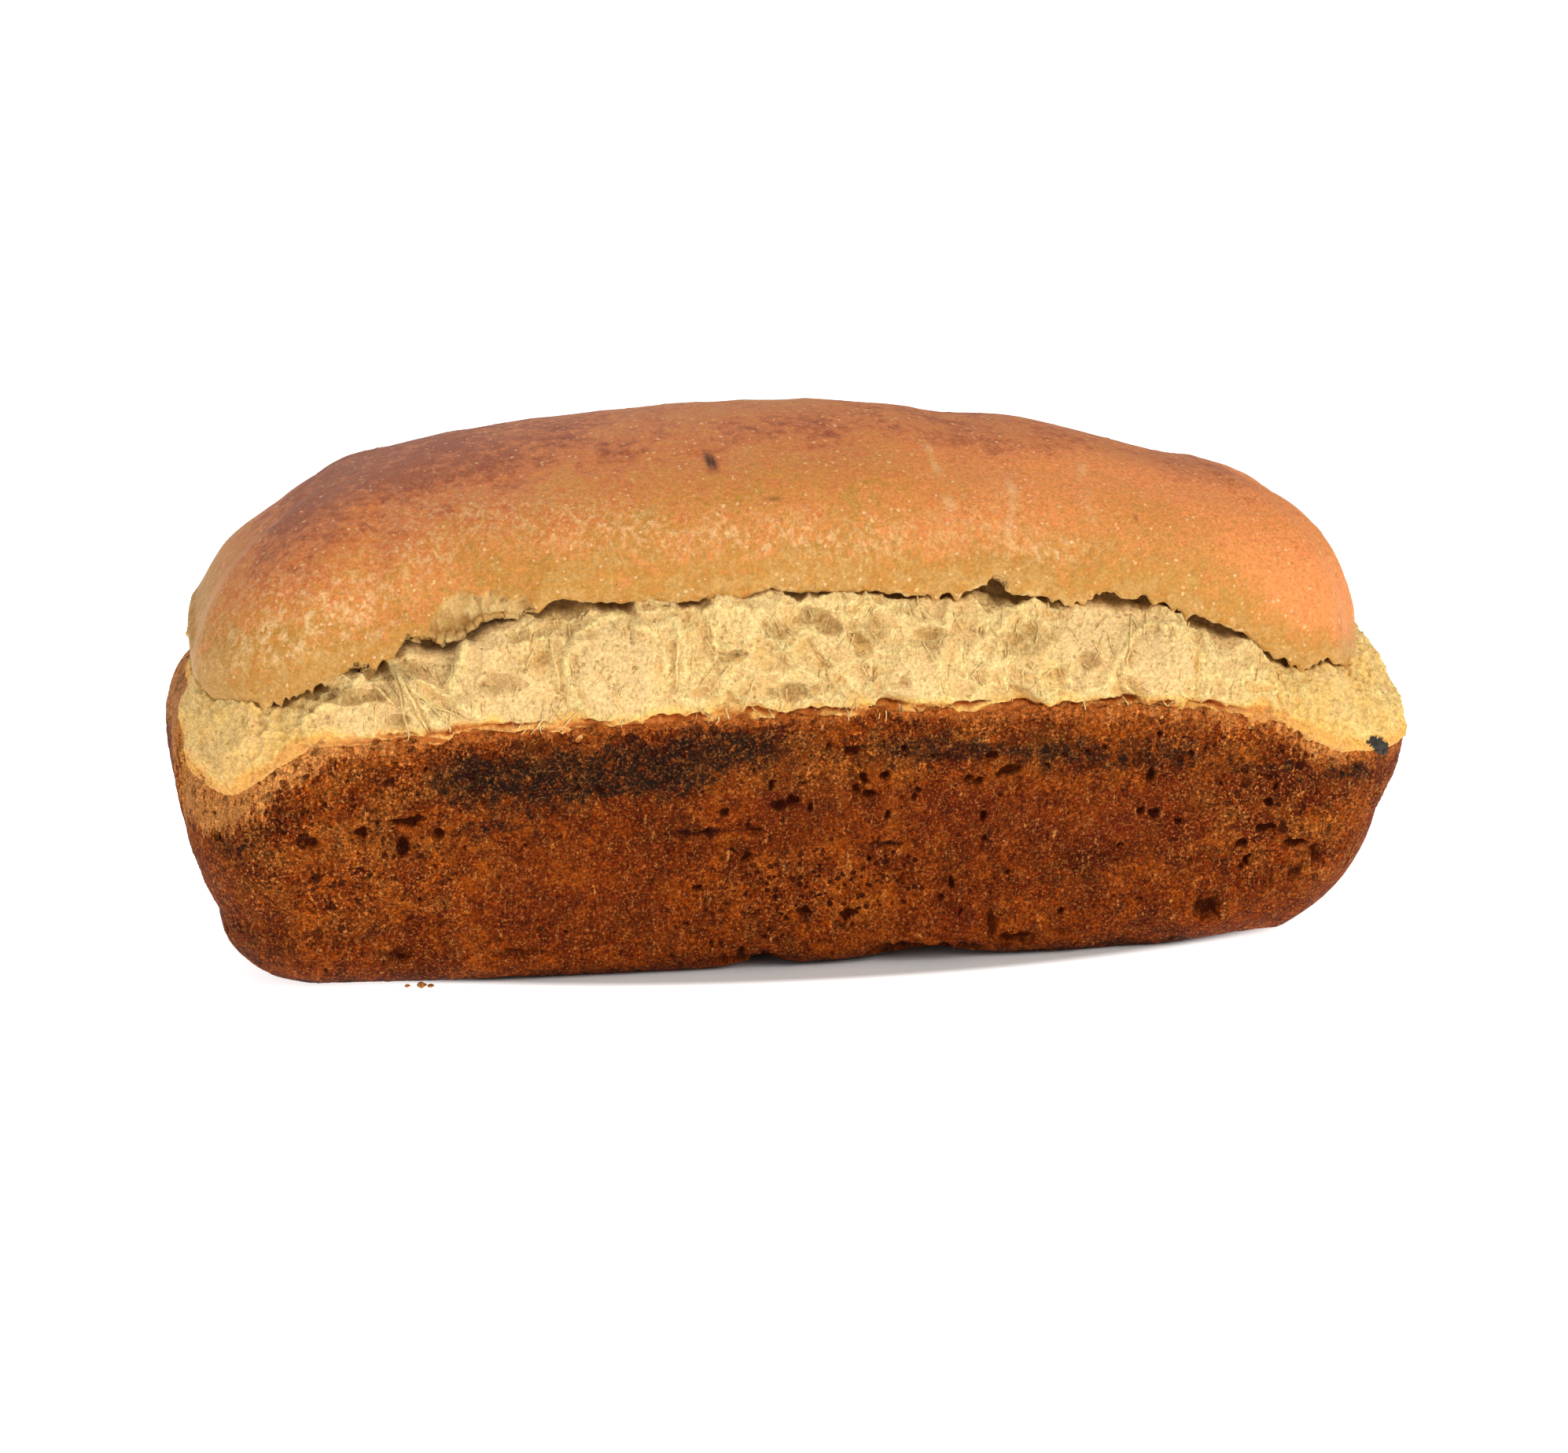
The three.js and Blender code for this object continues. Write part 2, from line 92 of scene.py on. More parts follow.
class Lattice:
    """Patterns hashed from a whole-number lattice, the same for the same point on every run."""

    @staticmethod
    def value(i: Array, j: Array, k: Array, seed: int) -> Array:
        """Multiplies and folds each lattice point's whole numbers into one number from 0 to 1.

        Args:
            i, j, k: The lattice points.
            seed: Which pattern.

        Returns:
            The numbers.
        """
        whole = [(part & 0xFFFFFFFF).astype(np.uint32) for part in (i, j, k)]
        with np.errstate(over="ignore"):
            h = whole[0] * np.uint32(374761393) ^ whole[1] * np.uint32(668265263)
            h = h ^ whole[2] * np.uint32(1442695041) ^ np.uint32((seed * 1274126177) & 0xFFFFFFFF)
            h = (h ^ (h >> np.uint32(15))) * np.uint32(2246822519)
            h = (h ^ (h >> np.uint32(13))) * np.uint32(3266489917)
        return (h ^ (h >> np.uint32(16))).astype(np.float64) / 4294967296.0

    @staticmethod
    def noise(points: Array, size: float | Array, seed: int) -> Array:
        """Smooth noise from -1 to 1: the values at a point's eight lattice corners, blended by nearness.

        Args:
            points: Places, with x, y and z last.
            size: Spacing of the lattice, one number or one for each axis.
            seed: Which pattern.

        Returns:
            One number per place.
        """
        scaled = points / np.asarray(size, float)
        base = np.floor(scaled).astype(np.int64)
        part = smooth(scaled - base)
        total = np.zeros(points.shape[:-1])
        for a in (0, 1):
            for b in (0, 1):
                for c in (0, 1):
                    weight = 1.0
                    for axis, step in enumerate((a, b, c)):
                        weight = weight * (part[..., axis] if step else 1 - part[..., axis])
                    corner = [base[..., axis] + step for axis, step in enumerate((a, b, c))]
                    total += weight * Lattice.value(*corner, seed)
        return 2 * total - 1

    @staticmethod
    def rough(points: Array, size: float | Array, seed: int, octaves: int = 3) -> Array:
        """Noise of several sizes added up, each half as large and half as strong as the one before.

        Args:
            points: Places, with x, y and z last.
            size: Spacing of the largest pattern.
            seed: Which pattern.
            octaves: How many sizes.

        Returns:
            One number per place, from about -1 to 1.
        """
        size = np.asarray(size, float)
        total = sum(Lattice.noise(points, size / 2**n, seed + 7 * n) / 2**n for n in range(octaves))
        return total / (2 - 2.0 ** (1 - octaves))

    @staticmethod
    def cells(points: Array, size: float | Array, seed: int) -> tuple[Array, Array, Array]:
        """Distances to the nearest and second nearest of the seeds scattered one to a lattice box.

        Args:
            points: Places, with x, y and z last.
            size: Spacing of the seeds, one number or one for each axis.
            seed: Which pattern.

        Returns:
            Nearest distance, second nearest, both in spacings, and a number from 0 to 1 for the nearest seed.
        """
        scaled = points / np.asarray(size, float)
        base = np.floor(scaled).astype(np.int64)
        near = np.full(points.shape[:-1], 1e9)
        second = near.copy()
        luck = np.zeros_like(near)
        for step in np.ndindex(3, 3, 3):
            box = [base[..., axis] + step[axis] - 1 for axis in range(3)]
            away = np.sqrt(sum((box[n] + Lattice.value(*box, seed + n) - scaled[..., n]) ** 2 for n in range(3)))
            second = np.minimum(second, np.maximum(near, away))
            closer = away < near
            near = np.where(closer, away, near)
            luck = np.where(closer, Lattice.value(*box, seed + 3), luck)
        return near, second, luck


@dataclass(frozen=True)
class Ripple:
    """One pattern of smooth noise: its size in millimetres, its strength, its seed and its bias."""

    size: float | Sizes
    strength: float
    seed: int
    bias: float = 0.0

    def at(self, points: Array) -> Array:
        """The pattern at each point, from minus its strength to its strength."""
        return self.strength * Lattice.noise(points, self.size, self.seed)

    def above(self, points: Array, threshold: float = 0.0) -> Array:
        """The part of the pattern that passes a threshold."""
        return self.strength * np.maximum(0, Lattice.noise(points, self.size, self.seed) - threshold)

    def share(self, points: Array, more: Array | float = 0.0) -> Array:
        """Places that the pattern picks, as an eased share from 0 to 1: its bias, and more, make them wider."""
        return smooth(self.at(points) + self.bias + more)

    def ridges(self, points: Array) -> Array:
        """Sharp ridges, 1 along the lines where the noise passes 0."""
        return (1 - np.abs(Lattice.noise(points, self.size, self.seed))) ** 3

    def sway(self, points: Array) -> Array:
        """Three such patterns as a vector, by which a point is swayed."""
        return self.strength * np.stack([Lattice.noise(points, self.size, self.seed + n) for n in range(3)], axis=-1)


Ripples = tuple[Ripple, ...]


@dataclass(frozen=True)
class Foam:
    """Cells scattered by chance, with thin webs that fall off as exp(-sharpness * gap) into floors.

    The gap is how much further the second nearest seed is than the nearest.
    """

    size: float | Sizes
    seed: int
    sharpness: float
    steepness: float = 3.0

    def form(self, points: Array) -> tuple[Array, Array, Array]:
        """The webs' height and the cells' depth, from 0 to 1, and a number from 0 to 1 for each cell.

        Args:
            points: Where to look.

        Returns:
            The height, the depth and the number at each point.
        """
        near, second, luck = Lattice.cells(points, self.size, self.seed)
        gap = second - near
        return np.exp(-self.sharpness * gap), 1 - np.exp(-self.steepness * gap), luck


@dataclass(frozen=True)
class Spacing:
    """How far apart columns stand on the front, the corners, the ends and the back, at the tin's edge."""

    front: float
    corner: float
    end: float
    back: float


@dataclass(frozen=True)
class Plan:
    """Columns round the loaf: feet on the core's edge, the way each faces, and the sizes at each."""

    core: Array
    facing: Array
    at: dict[str, Array]

    def place(self, radius: Array, height: Array, form: "LoafForm") -> Array:
        """Points at a radius out from the core and a height, raked as the tin's ends are.

        Args:
            radius, height: Those of each point.
            form: The form that says how the ends are raked.

        Returns:
            The points.
        """
        x = self.core[:, 0] + self.facing[:, 0] * radius
        y = self.core[:, 1] + self.facing[:, 1] * radius
        return np.stack(np.broadcast_arrays(form.raked(x, height), y, height), axis=-1)


def stations(*values: float) -> tuple[float, ...]:
    """Sixteen sizes round the loaf, checked for their number."""
    assert len(values) == 16
    return values


@dataclass(frozen=True)
class RimTear:
    """A stretch where the tin crust's edge is torn down, easing in before it and out after it.

    Its start and end are distances past the beginning of one of the stretches of the way round.
    """

    stretch: int
    start: float
    end: float
    before: float
    after: float
    drop: float

    def over(self, past: Array) -> Array:
        """How far the edge is dropped at each distance past the stretch's beginning."""
        away = np.maximum((self.start - past) / self.before, (past - self.end) / self.after)
        return self.drop * smooth(1 - away)


@dataclass(frozen=True)
class LoafForm:
    """The loaf's main shapes, as in its solid: every level is a rectangle grown by a radius.

    The sizes that change round the loaf stand at sixteen stations, from the middle of the front by the
    right end and the back to the left end: side middle, turn, side's end, corner, end middle, corner,
    side's end, turn, and the same again.
    """

    length: float = 292
    width: float = 112
    height: float = 124
    tin_height: float = 62
    tin_taper: float = 10
    corner_radius: float = 29
    rake_right: float = 15
    rake_left: float = 1.5
    rake_bend: float = 1.3
    rake_reach: float = 3
    curl_radius: float = 25
    lip_thickness: float = 2.0
    lip_tuck: float = 1.6
    cap_hollow: float = 0.5
    least_gap: float = 0.5
    turn_share: float = 0.64
    crest_reach: float = 90
    crest_drop: Pair = (6.8, 13)
    crest_power: Pair = (4, 1.9)
    crest_dips: tuple[tuple[float, float, float], ...] = ((-58, 24, 1.6), (38, 12, 1.7))
    foot_arches: tuple[tuple[float, float, float], ...] = ((-14, 7, 2.4), (26, 14, 2.3))
    under_share: float = 0.75
    least_turn: float = 0.5
    dome_square: float = 2.3
    end_lean: float = 2
    flank: float = 0.4
    crumb_square: float = 0.6
    lip_sag: tuple[float, float, float] = (-83, 12, 5)
    rim_tears: tuple[RimTear, ...] = (RimTear(1, 6, 40, 26, 40, 8), RimTear(7, 3, 20, 6, 28, 15.5))
    tooth_size: float = 7
    tooth_depth: float = 1.5
    tooth_seed: int = 53
    round: dict[str, tuple[float, ...]] = field(default_factory=lambda: {
        "rim_radius": stations(29, 29, 29, 29, 28.5, 28, 28, 28, 28, 28, 28, 26.5, 28, 29, 29, 29),
        "curl_from": stations(60, 60, 60, 60, 60, 60, 60, 60, 60, 60, 57, 48, 50, 58, 60, 60),
        "foot_round": stations(9, 11.5, 25, 31, 21, 13, 10, 8, 8, 8, 10, 13, 15, 17, 14, 9.5),
        "rim_height": stations(62.5, 61, 57, 56, 56, 59, 61, 62, 62, 63, 66, 71, 70, 63, 60.5, 62),
        "wall_bulge": stations(0.6, 0.6, 0.8, 1.2, 1.2, 1, 0.8, 0.6, 0.6, 0.6, 0.8, 3.2, 4.2, 3.6, 1.2, 0.6),
        "lip_height": stations(89.5, 84, 67, 65.5, 74, 76, 79, 82, 84, 85, 82, 76, 74, 68.5, 71.5, 88),
        "lip_radius": stations(25, 25, 19.5, 13.8, 12.2, 12, 17, 23, 25, 25, 22, 20, 24.5, 26, 26.5, 26),
        "gap": stations(1.3, 1.4, 0.6, 0.6, 0.9, 0.9, 1.0, 1.3, 1.4, 1.2, 0.9, 0.7, 0.7, 0.7, 0.8, 1.4),
        "cleft_depth": stations(5.5, 6, 3, 2, 1.8, 2, 2.4, 2.8, 3, 2.6, 2, 1.4, 1.4, 1.6, 2, 5.5),
        "crumb_bulge": stations(2.4, 2.4, 2.6, 2.6, 2.8, 2.8, 3, 2.5, 2.5, 2, 1.2, 0.6, 0.6, 1.6, 2, 2.4),
        "cap_bulge": stations(2, 2, 2, 1.6, 1.5, 1.4, 1.4, 2, 2, 2, 1.4, 1.8, 1.6, 1.6, 1.8, 2),
        "fullness": stations(1.8, 1.8, 1.9, 1.75, 1.5, 1.5, 1.5, 1.6, 1.7, 1.6, 1.3, 0.95, 1, 1.45, 1.7, 1.75),
        "ledge": stations(0.35, 0.3, -0.3, -0.5, -0.5, -0.4, 0.2, 0.8, 1.0, 0.8, 0.3, -0.4, -0.5, -0.5, -0.4, 0.3),
        "toasted": stations(2.6, 6.0, 7.0, 4.6, 5, 4.5, 3.5, 3, 3, 3, 12, 26, 28, 16, 9, 3.6),
    })

    @property
    def core_x(self) -> float:
        """Half the core's length."""
        return self.length / 2 - self.corner_radius

    @property
    def core_y(self) -> float:
        """Half the core's width."""
        return self.width / 2 - self.corner_radius

    def lengths(self) -> list[float]:
        """The stretches of the way round: half front, corner, end, corner, back, corner, end, corner, half front."""
        x, y, quarter = self.core_x, self.core_y, math.pi / 2 * self.corner_radius
        return [x, quarter, 2 * y, quarter, 2 * x, quarter, 2 * y, quarter, x]

    def station_places(self) -> Array:
        """How far round the loaf each of the sixteen stations lies."""
        x, quarter = self.core_x, math.pi / 2 * self.corner_radius
        whole = sum(self.lengths())
        half = [0, self.turn_share * x, x, x + quarter / 2, x + quarter + self.core_y]
        half += [whole / 2 - place for place in half[3:0:-1]]
        return np.array(half + [place + whole / 2 for place in half])

    def around(self, along: Array, values: tuple[float, ...]) -> Array:
        """A smooth closed curve through one value per station, by cubics that never overshoot a value.

        Args:
            along: Places on the way round.
            values: The sixteen values.

        Returns:
            The curve's value at each place.
        """
        whole = sum(self.lengths())
        places = self.station_places()
        n = len(places)
        x = np.concatenate([places[-2:] - whole, places, places[:3] + whole])
        v = np.array(values)
        v = np.concatenate([v[-2:], v, v[:3]])
        rise = np.diff(v) / np.diff(x)
        before, after = rise[:-1], rise[1:]
        flat = before * after <= 0
        slope = np.where(flat, 0, 2 * before * after / np.where(flat, 1, before + after))
        slope = np.concatenate([[0], slope, [0]])
        i = np.clip(np.searchsorted(x, along, side="right") - 1, 2, n + 1)
        span = x[i + 1] - x[i]
        t = (along - x[i]) / span
        bend = t * (1 - t) * span * ((1 - t) * slope[i] - t * slope[i + 1])
        return mix(v[i], v[i + 1], smooth(t)) + bend

    def plan(self, spacing: Spacing) -> Plan:
        """Columns round the loaf, anticlockwise seen from above, from the middle of the front.

        Args:
            spacing: How far apart they stand on each stretch.

        Returns:
            The columns, with every size that changes round the loaf.
        """
        steps = [spacing.front, spacing.corner, spacing.end, spacing.corner, spacing.back]
        steps += [spacing.corner, spacing.end, spacing.corner, spacing.front]
        lengths = self.lengths()
        ends = np.cumsum([0, *lengths])
        along = np.concatenate([
            start + length * np.arange(round(length / step)) / round(length / step)
            for start, length, step in zip(ends, lengths, steps)
        ])
        x, y = self.core_x, self.core_y
        corners_x = [0, x, x, x, x, -x, -x, -x, -x, 0]
        corners_y = [-y, -y, -y, y, y, y, y, -y, -y, -y]
        turns = np.radians([-90, -90, 0, 0, 90, 90, 180, 180, 270, 270])
        core = np.stack([np.interp(along, ends, corners_x), np.interp(along, ends, corners_y)], axis=-1)
        angle = np.interp(along, ends, turns)
        facing = np.stack([np.cos(angle), np.sin(angle)], axis=-1)
        at = {name: self.around(along, values) for name, values in self.round.items()}
        edge = core + facing * self.corner_radius
        points = np.stack([edge[:, 0], edge[:, 1], np.zeros(len(edge))], axis=-1)
        tooth = self.tooth_depth * Lattice.noise(points, self.tooth_size, self.tooth_seed)
        middle, reach, drop = self.lip_sag
        sag = np.where(facing[:, 1] < 0, drop * hill(core[:, 0], middle, reach), 0)
        at["lip_height"] = at["lip_height"] + tooth - sag
        at["gap"] = np.maximum(self.least_gap, at["gap"] + tooth / 2)
        at["rim_height"] = at["rim_height"] - sum(tear.over(along - ends[tear.stretch]) for tear in self.rim_tears)
        at["edge_x"], at["edge_y"] = edge[:, 0], edge[:, 1]
        return Plan(core, facing, at)

    def raked(self, x: Array, z: Array) -> Array:
        """Where the tin's ends lean in towards the underside: the rake grows with the drop and the reach.

        Args:
            x, z: Places before they lean.

        Returns:
            Their x once they lean.
        """
        rake = np.where(x < 0, self.rake_left, self.rake_right)
        low = np.maximum(0, 1 - z / self.tin_height)
        out = np.abs(x) / (self.length / 2)
        return x - np.sign(x) * rake * low**self.rake_bend * out ** (self.rake_reach + 1)

    def wall_radius(self, at: dict[str, Array], z: Array) -> Array:
        """Outside of the tin crust: leaning out to the tin's edge, and curling in on a circle near its top.

        Args:
            at: The sizes at each column.
            z: Heights.

        Returns:
            The radius at each height.
        """
        above = np.maximum(0, z - at["curl_from"])
        lean = self.tin_taper * (1 - np.minimum(z, self.tin_height) / self.tin_height)
        return at["rim_radius"] - lean - above**2 / (2 * self.curl_radius)

    def arch(self, plan: Plan) -> Array:
        """How far the arches under the front edge lift the foot at each column."""
        lift = sum(height * hill(plan.core[:, 0], middle, reach) for middle, reach, height in self.foot_arches)
        return np.where(plan.facing[:, 1] < 0, lift, 0)

    def crest_fall(self, x: Array) -> tuple[Array, Array]:
        """How far the crest drops on its way out on x's side of the middle, and by which power."""
        left = x < 0
        return np.where(left, *self.crest_drop), np.where(left, *self.crest_power)

    def crest(self, x: Array) -> Array:
        """Height of the crest line: it falls by a power of the distance from the middle, and dips.

        Args:
            x: Places along the loaf.

        Returns:
            The height at each.
        """
        drop, power = self.crest_fall(x)
        dips = sum(depth * hill(x, middle, reach) for middle, reach, depth in self.crest_dips)
        return self.height - drop * (np.abs(x) / self.crest_reach) ** power - dips

    def mouth(self, plan: Plan) -> tuple[Array, Array]:
        """Radius and height of the torn crumb's upper edge, just under the lip."""
        return plan.at["lip_radius"] - self.lip_tuck, plan.at["lip_height"] - plan.at["gap"]

    def dome(self, plan: Plan, share: Array) -> Array:
        """The cap's outside, from the lip at share 0 to the crest line at share 1.

        In plan a point runs straight in from the lip to the crest, and it climbs as
        (1 - (1 - share)^square)^(1 / fullness). The flank swells out by a half wave.

        Args:
            plan: The columns.
            share: How far up each row lies, shaped (rows, 1).

        Returns:
            Points shaped (rows, columns, 3).
        """
        at = plan.at
        foot_z = at["lip_height"] + self.lip_thickness
        foot = plan.place(at["lip_radius"], foot_z, self)
        top_x = np.clip(plan.core[:, 0], -self.crest_reach, self.crest_reach)
        lift = (1 - (1 - share) ** self.dome_square) ** (1 / at["fullness"])
        swell = at["cap_bulge"] * np.sin(np.pi * np.minimum(1, share / self.flank))
        x = mix(foot[:, 0], top_x, share) + plan.facing[:, 0] * swell
        y = mix(foot[:, 1], 0, share) + plan.facing[:, 1] * swell
        drop, power = self.crest_fall(top_x)
        past = np.maximum(0, np.abs(x) - self.crest_reach) * share**self.end_lean
        z = mix(foot_z, self.crest(top_x), lift) - drop * power / self.crest_reach * past
        return np.stack([x, y, z], axis=-1)


def outward(grid: Array) -> Array:
    """Unit normals of a grid: the cross of the step along its rows and the step up its columns.

    Args:
        grid: Points shaped (rows, columns, 3), whose columns close round the loaf.

    Returns:
        A normal for each point.
    """
    across = np.roll(grid, -1, axis=1) - np.roll(grid, 1, axis=1)
    up = np.gradient(grid, axis=0)
    normal = np.cross(across, up)
    return normal / np.maximum(np.linalg.norm(normal, axis=-1, keepdims=True), 1e-9)


def pushed(grid: Array, move: Array) -> Array:
    """The grid with each point moved outwards by its own amount."""
    return grid + outward(grid) * move[..., None]


@dataclass
class Skin:
    """A closed skin: a grid of rows, closed by a point or a seam at its bottom and its top.

    The points are in millimetres, shaped (rows, columns, 3). The traits are numbers from 0 to 1 that
    the finish reads, each shaped (rows, columns).
    """

    name: str
    points: Array
    traits: dict[str, Array]
    seam_top: bool = False

    def capped(self) -> "Skin":
        """Adds a row at each open end that has shrunk to the middle of the level it closes."""
        last = len(self.points) - 1
        rows = [0, *range(last + 1)] + ([] if self.seam_top else [last])
        points = self.points[rows]
        points[0] = self.points[0].mean(axis=0)
        if not self.seam_top:
            points[-1] = self.points[-1].mean(axis=0)
        return Skin(self.name, points, {name: trait[rows] for name, trait in self.traits.items()}, self.seam_top)

    def triangles(self) -> tuple[Array, Array]:
        """Vertices that are one merged into one, and the triangles that are left.

        Returns:
            Which grid point stands for each vertex, and the triangles as rows of three vertex numbers.
        """
        rows, columns = self.points.shape[:2]
        flat = np.round(self.points.reshape(-1, 3), 5)
        _, first, vertex = np.unique(flat, axis=0, return_index=True, return_inverse=True)
        a, b, c, d = squares(vertex.reshape(rows, columns))
        corner = flat[first]
        level = np.linalg.norm(corner[a] - corner[c], axis=-1) < np.linalg.norm(corner[b] - corner[d], axis=-1)
        one = np.where(level[..., None], np.stack([a, b, c], axis=-1), np.stack([a, b, d], axis=-1))
        two = np.where(level[..., None], np.stack([a, c, d], axis=-1), np.stack([b, c, d], axis=-1))
        faces = np.concatenate([one.reshape(-1, 3), two.reshape(-1, 3)])
        apart = (faces[:, 0] != faces[:, 1]) & (faces[:, 1] != faces[:, 2]) & (faces[:, 2] != faces[:, 0])
        return first, faces[apart]

    def build(self, shift: Array) -> bpy.types.Object:
        """Makes the mesh object, in metres, with the traits as attributes of its points.

        Args:
            shift: How far to move the whole, in millimetres.

        Returns:
            The new object, at the origin, unturned and unscaled.
        """
        whole = self.capped()
        first, faces = whole.triangles()
        points = whole.points.reshape(-1, 3)[first] + shift
        mesh = bpy.data.meshes.new(self.name)
        mesh.vertices.add(len(points))
        mesh.vertices.foreach_set("co", (points * MM).astype(np.float32).ravel())
        mesh.loops.add(faces.size)
        mesh.loops.foreach_set("vertex_index", faces.astype(np.int32).ravel())
        mesh.polygons.add(len(faces))
        mesh.polygons.foreach_set("loop_start", np.arange(0, faces.size, 3, dtype=np.int32))
        mesh.polygons.foreach_set("use_smooth", np.ones(len(faces), dtype=bool))
        mesh.update(calc_edges=True)
        marked(mesh, {name: trait.reshape(-1)[first] for name, trait in whole.traits.items()})
        return linked(self.name, mesh)


def linked(name: str, data: bpy.types.ID) -> bpy.types.Object:
    """A new object round some data, put into the scene.

    Args:
        name: The object's name.
        data: Its mesh, camera or light.

    Returns:
        The object.
    """
    made = bpy.data.objects.new(name, data)
    bpy.context.scene.collection.objects.link(made)
    return made


def aimed(made: bpy.types.Object, way: Vector) -> None:
    """Turns a camera or a lamp so that it looks along a way."""
    made.rotation_mode = "QUATERNION"
    made.rotation_quaternion = way.to_track_quat("-Z", "Y")


def marked(mesh: bpy.types.Mesh, traits: dict[str, Array]) -> None:
    """Keeps traits as attributes of the mesh's points.

    Args:
        mesh: The mesh.
        traits: The values of each, by name, one for each point.
    """
    for name, trait in traits.items():
        attribute = mesh.attributes.new(name, "FLOAT", "POINT")
        attribute.data.foreach_set("value", trait.astype(np.float32))


def squares(index: Array) -> tuple[Array, Array, Array, Array]:
    """The four corners of every square of a grid of vertex numbers whose last axis closes on itself."""
    below, above = index[..., :-1, :], index[..., 1:, :]
    return below, np.roll(below, -1, axis=-1), np.roll(above, -1, axis=-1), above


def rgb(red: int, green: int, blue: int) -> Colour:
    """A colour as shaders take it: each part is brought from the screen's scale to linear light.

    Args:
        red, green, blue: Its parts on screen, from 0 to 255.

    Returns:
        Its parts in linear light, from 0 to 1.
    """
    def part(value: int) -> float:
        share = value / 255
        return share / 12.92 if share <= 0.04045 else ((share + 0.055) / 1.055) ** 2.4
    return part(red), part(green), part(blue)


class Sheet:
    """A material's nodes, laid down one after another."""

    waver_share = 0.6
    mix_inputs = (0, 6, 7)  # the colour mixer's share and its two colours, among inputs of several kinds

    def __init__(self, name: str) -> None:
        """Makes an empty material with its shader and its output.

        Args:
            name: The material's name.
        """
        self.material = bpy.data.materials.new(name)
        self.material.use_nodes = True
        self.tree = self.material.node_tree
        self.tree.nodes.clear()
        self.shader = self.tree.nodes.new("ShaderNodeBsdfPrincipled")
        output = self.tree.nodes.new("ShaderNodeOutputMaterial")
        self.tree.links.new(self.shader.outputs[0], output.inputs["Surface"])
        self.place = self.tree.nodes.new("ShaderNodeTexCoord").outputs["Object"]

    def put(self, socket: Socket, value: object) -> None:
        """Links a socket to a value that is a socket, and otherwise sets it.

        Args:
            socket: The input.
            value: A socket, a number, or a row of numbers.
        """
        if isinstance(value, Socket):
            self.tree.links.new(value, socket)
        elif isinstance(value, tuple) and len(value) == 3 and socket.type == "RGBA":
            socket.default_value = (*value, 1.0)
        else:
            socket.default_value = value

    def node(self, kind: str, inputs: dict[str | int, object], **settings: str) -> bpy.types.Node:
        """Adds a node.

        Args:
            kind: Its type, as the shader tree names it after "ShaderNode".
            inputs: What its inputs are linked or set to, by name or number.
            settings: Its own settings.

        Returns:
            The node.
        """
        node = self.tree.nodes.new("ShaderNode" + kind)
        for name, setting in settings.items():
            setattr(node, name, setting)
        for socket, value in inputs.items():
            self.put(node.inputs[socket], value)
        return node

    def trait(self, name: str) -> Socket:
        """A trait of the mesh's points."""
        return self.node("Attribute", {}, attribute_name=name).outputs["Fac"]

    def noise(self, size: float, detail: float = 2.0, roughness: float = 0.5,
              stretch: Sizes | None = None) -> Socket:
        """Noise on the object's own place, about 0.5 on average.

        Args:
            size: Size of the pattern in millimetres.
            detail: Octaves.
            roughness: Strength of the finer octaves.
            stretch: How many times longer the pattern is along each axis.

        Returns:
            The noise.
        """
        place = self.place
        if stretch:
            place = self.node("Mapping", {"Vector": place, "Scale": tuple(1 / part for part in stretch)}).outputs[0]
        inputs = {"Vector": place, "Scale": 1 / (size * MM), "Detail": detail, "Roughness": roughness}
        return self.node("TexNoise", inputs).outputs["Fac"]

    def spots(self, size: float, wobble: float = 0.0, luck: float = 0.0) -> Socket:
        """Distance to the nearest of seeds scattered a size apart, in spacings.

        Args:
            size: The spacing in millimetres.
            wobble: How far the outlines waver, in millimetres.
            luck: How much nearer the luckiest seed seems than it is.

        Returns:
            The distance, brought nearer by each seed's own luck.
        """
        place = self.place
        if wobble:
            waver = self.node("TexNoise", {"Vector": place, "Scale": 1 / (size * self.waver_share * MM)})
            moved = {0: waver.outputs["Color"], 1: (wobble * MM,) * 3, 2: place}
            place = self.node("VectorMath", moved, operation="MULTIPLY_ADD").outputs[0]
        node = self.node("TexVoronoi", {"Vector": place, "Scale": 1 / (size * MM)})
        if not luck:
            return node.outputs["Distance"]
        chance = self.node("SeparateColor", {0: node.outputs["Color"]})
        return self.weigh((node.outputs["Distance"], 1.0), (chance.outputs[0], -luck))

    def dots(self, spots: Socket, outer: float, inner: float, share: object) -> Socket:
        """Round dots, from a distance where they begin to one where they are full, times a share."""
        return self.times(self.between(spots, outer, inner), share)

    def mottled(self, colour: object, size: float, amount: float) -> Socket:
        """The colour made lighter and darker by fine noise, by up to an amount."""
        tone = self.between(self.noise(size, 4, 0.75), 0.3, 0.7, 1 - amount, 1 + amount)
        return self.blend(colour, tone, 1.0, "MULTIPLY")

    def sum(self, operation: str, a: object, b: object = 0.0, c: object = 0.0) -> Socket:
        """One arithmetic step on numbers or sockets, by the name that the maths node gives it."""
        return self.node("Math", {0: a, 1: b, 2: c}, operation=operation).outputs[0]

    def times(self, a: object, b: object) -> Socket:
        """One number times another."""
        return self.sum("MULTIPLY", a, b)

    def most(self, first: object, *others: object) -> Socket:
        """The largest of several numbers.

        Args:
            first, others: Numbers or sockets.

        Returns:
            The largest.
        """
        for other in others:
            first = self.sum("MAXIMUM", first, other)
        return first

    def weigh(self, *parts: tuple[object, float]) -> Socket:
        """Numbers added up, each multiplied by its own weight.

        Args:
            parts: Each number or socket, with its weight.

        Returns:
            The sum.
        """
        total = 0.0
        for value, weight in parts:
            total = self.sum("MULTIPLY_ADD", value, weight, total)
        return total

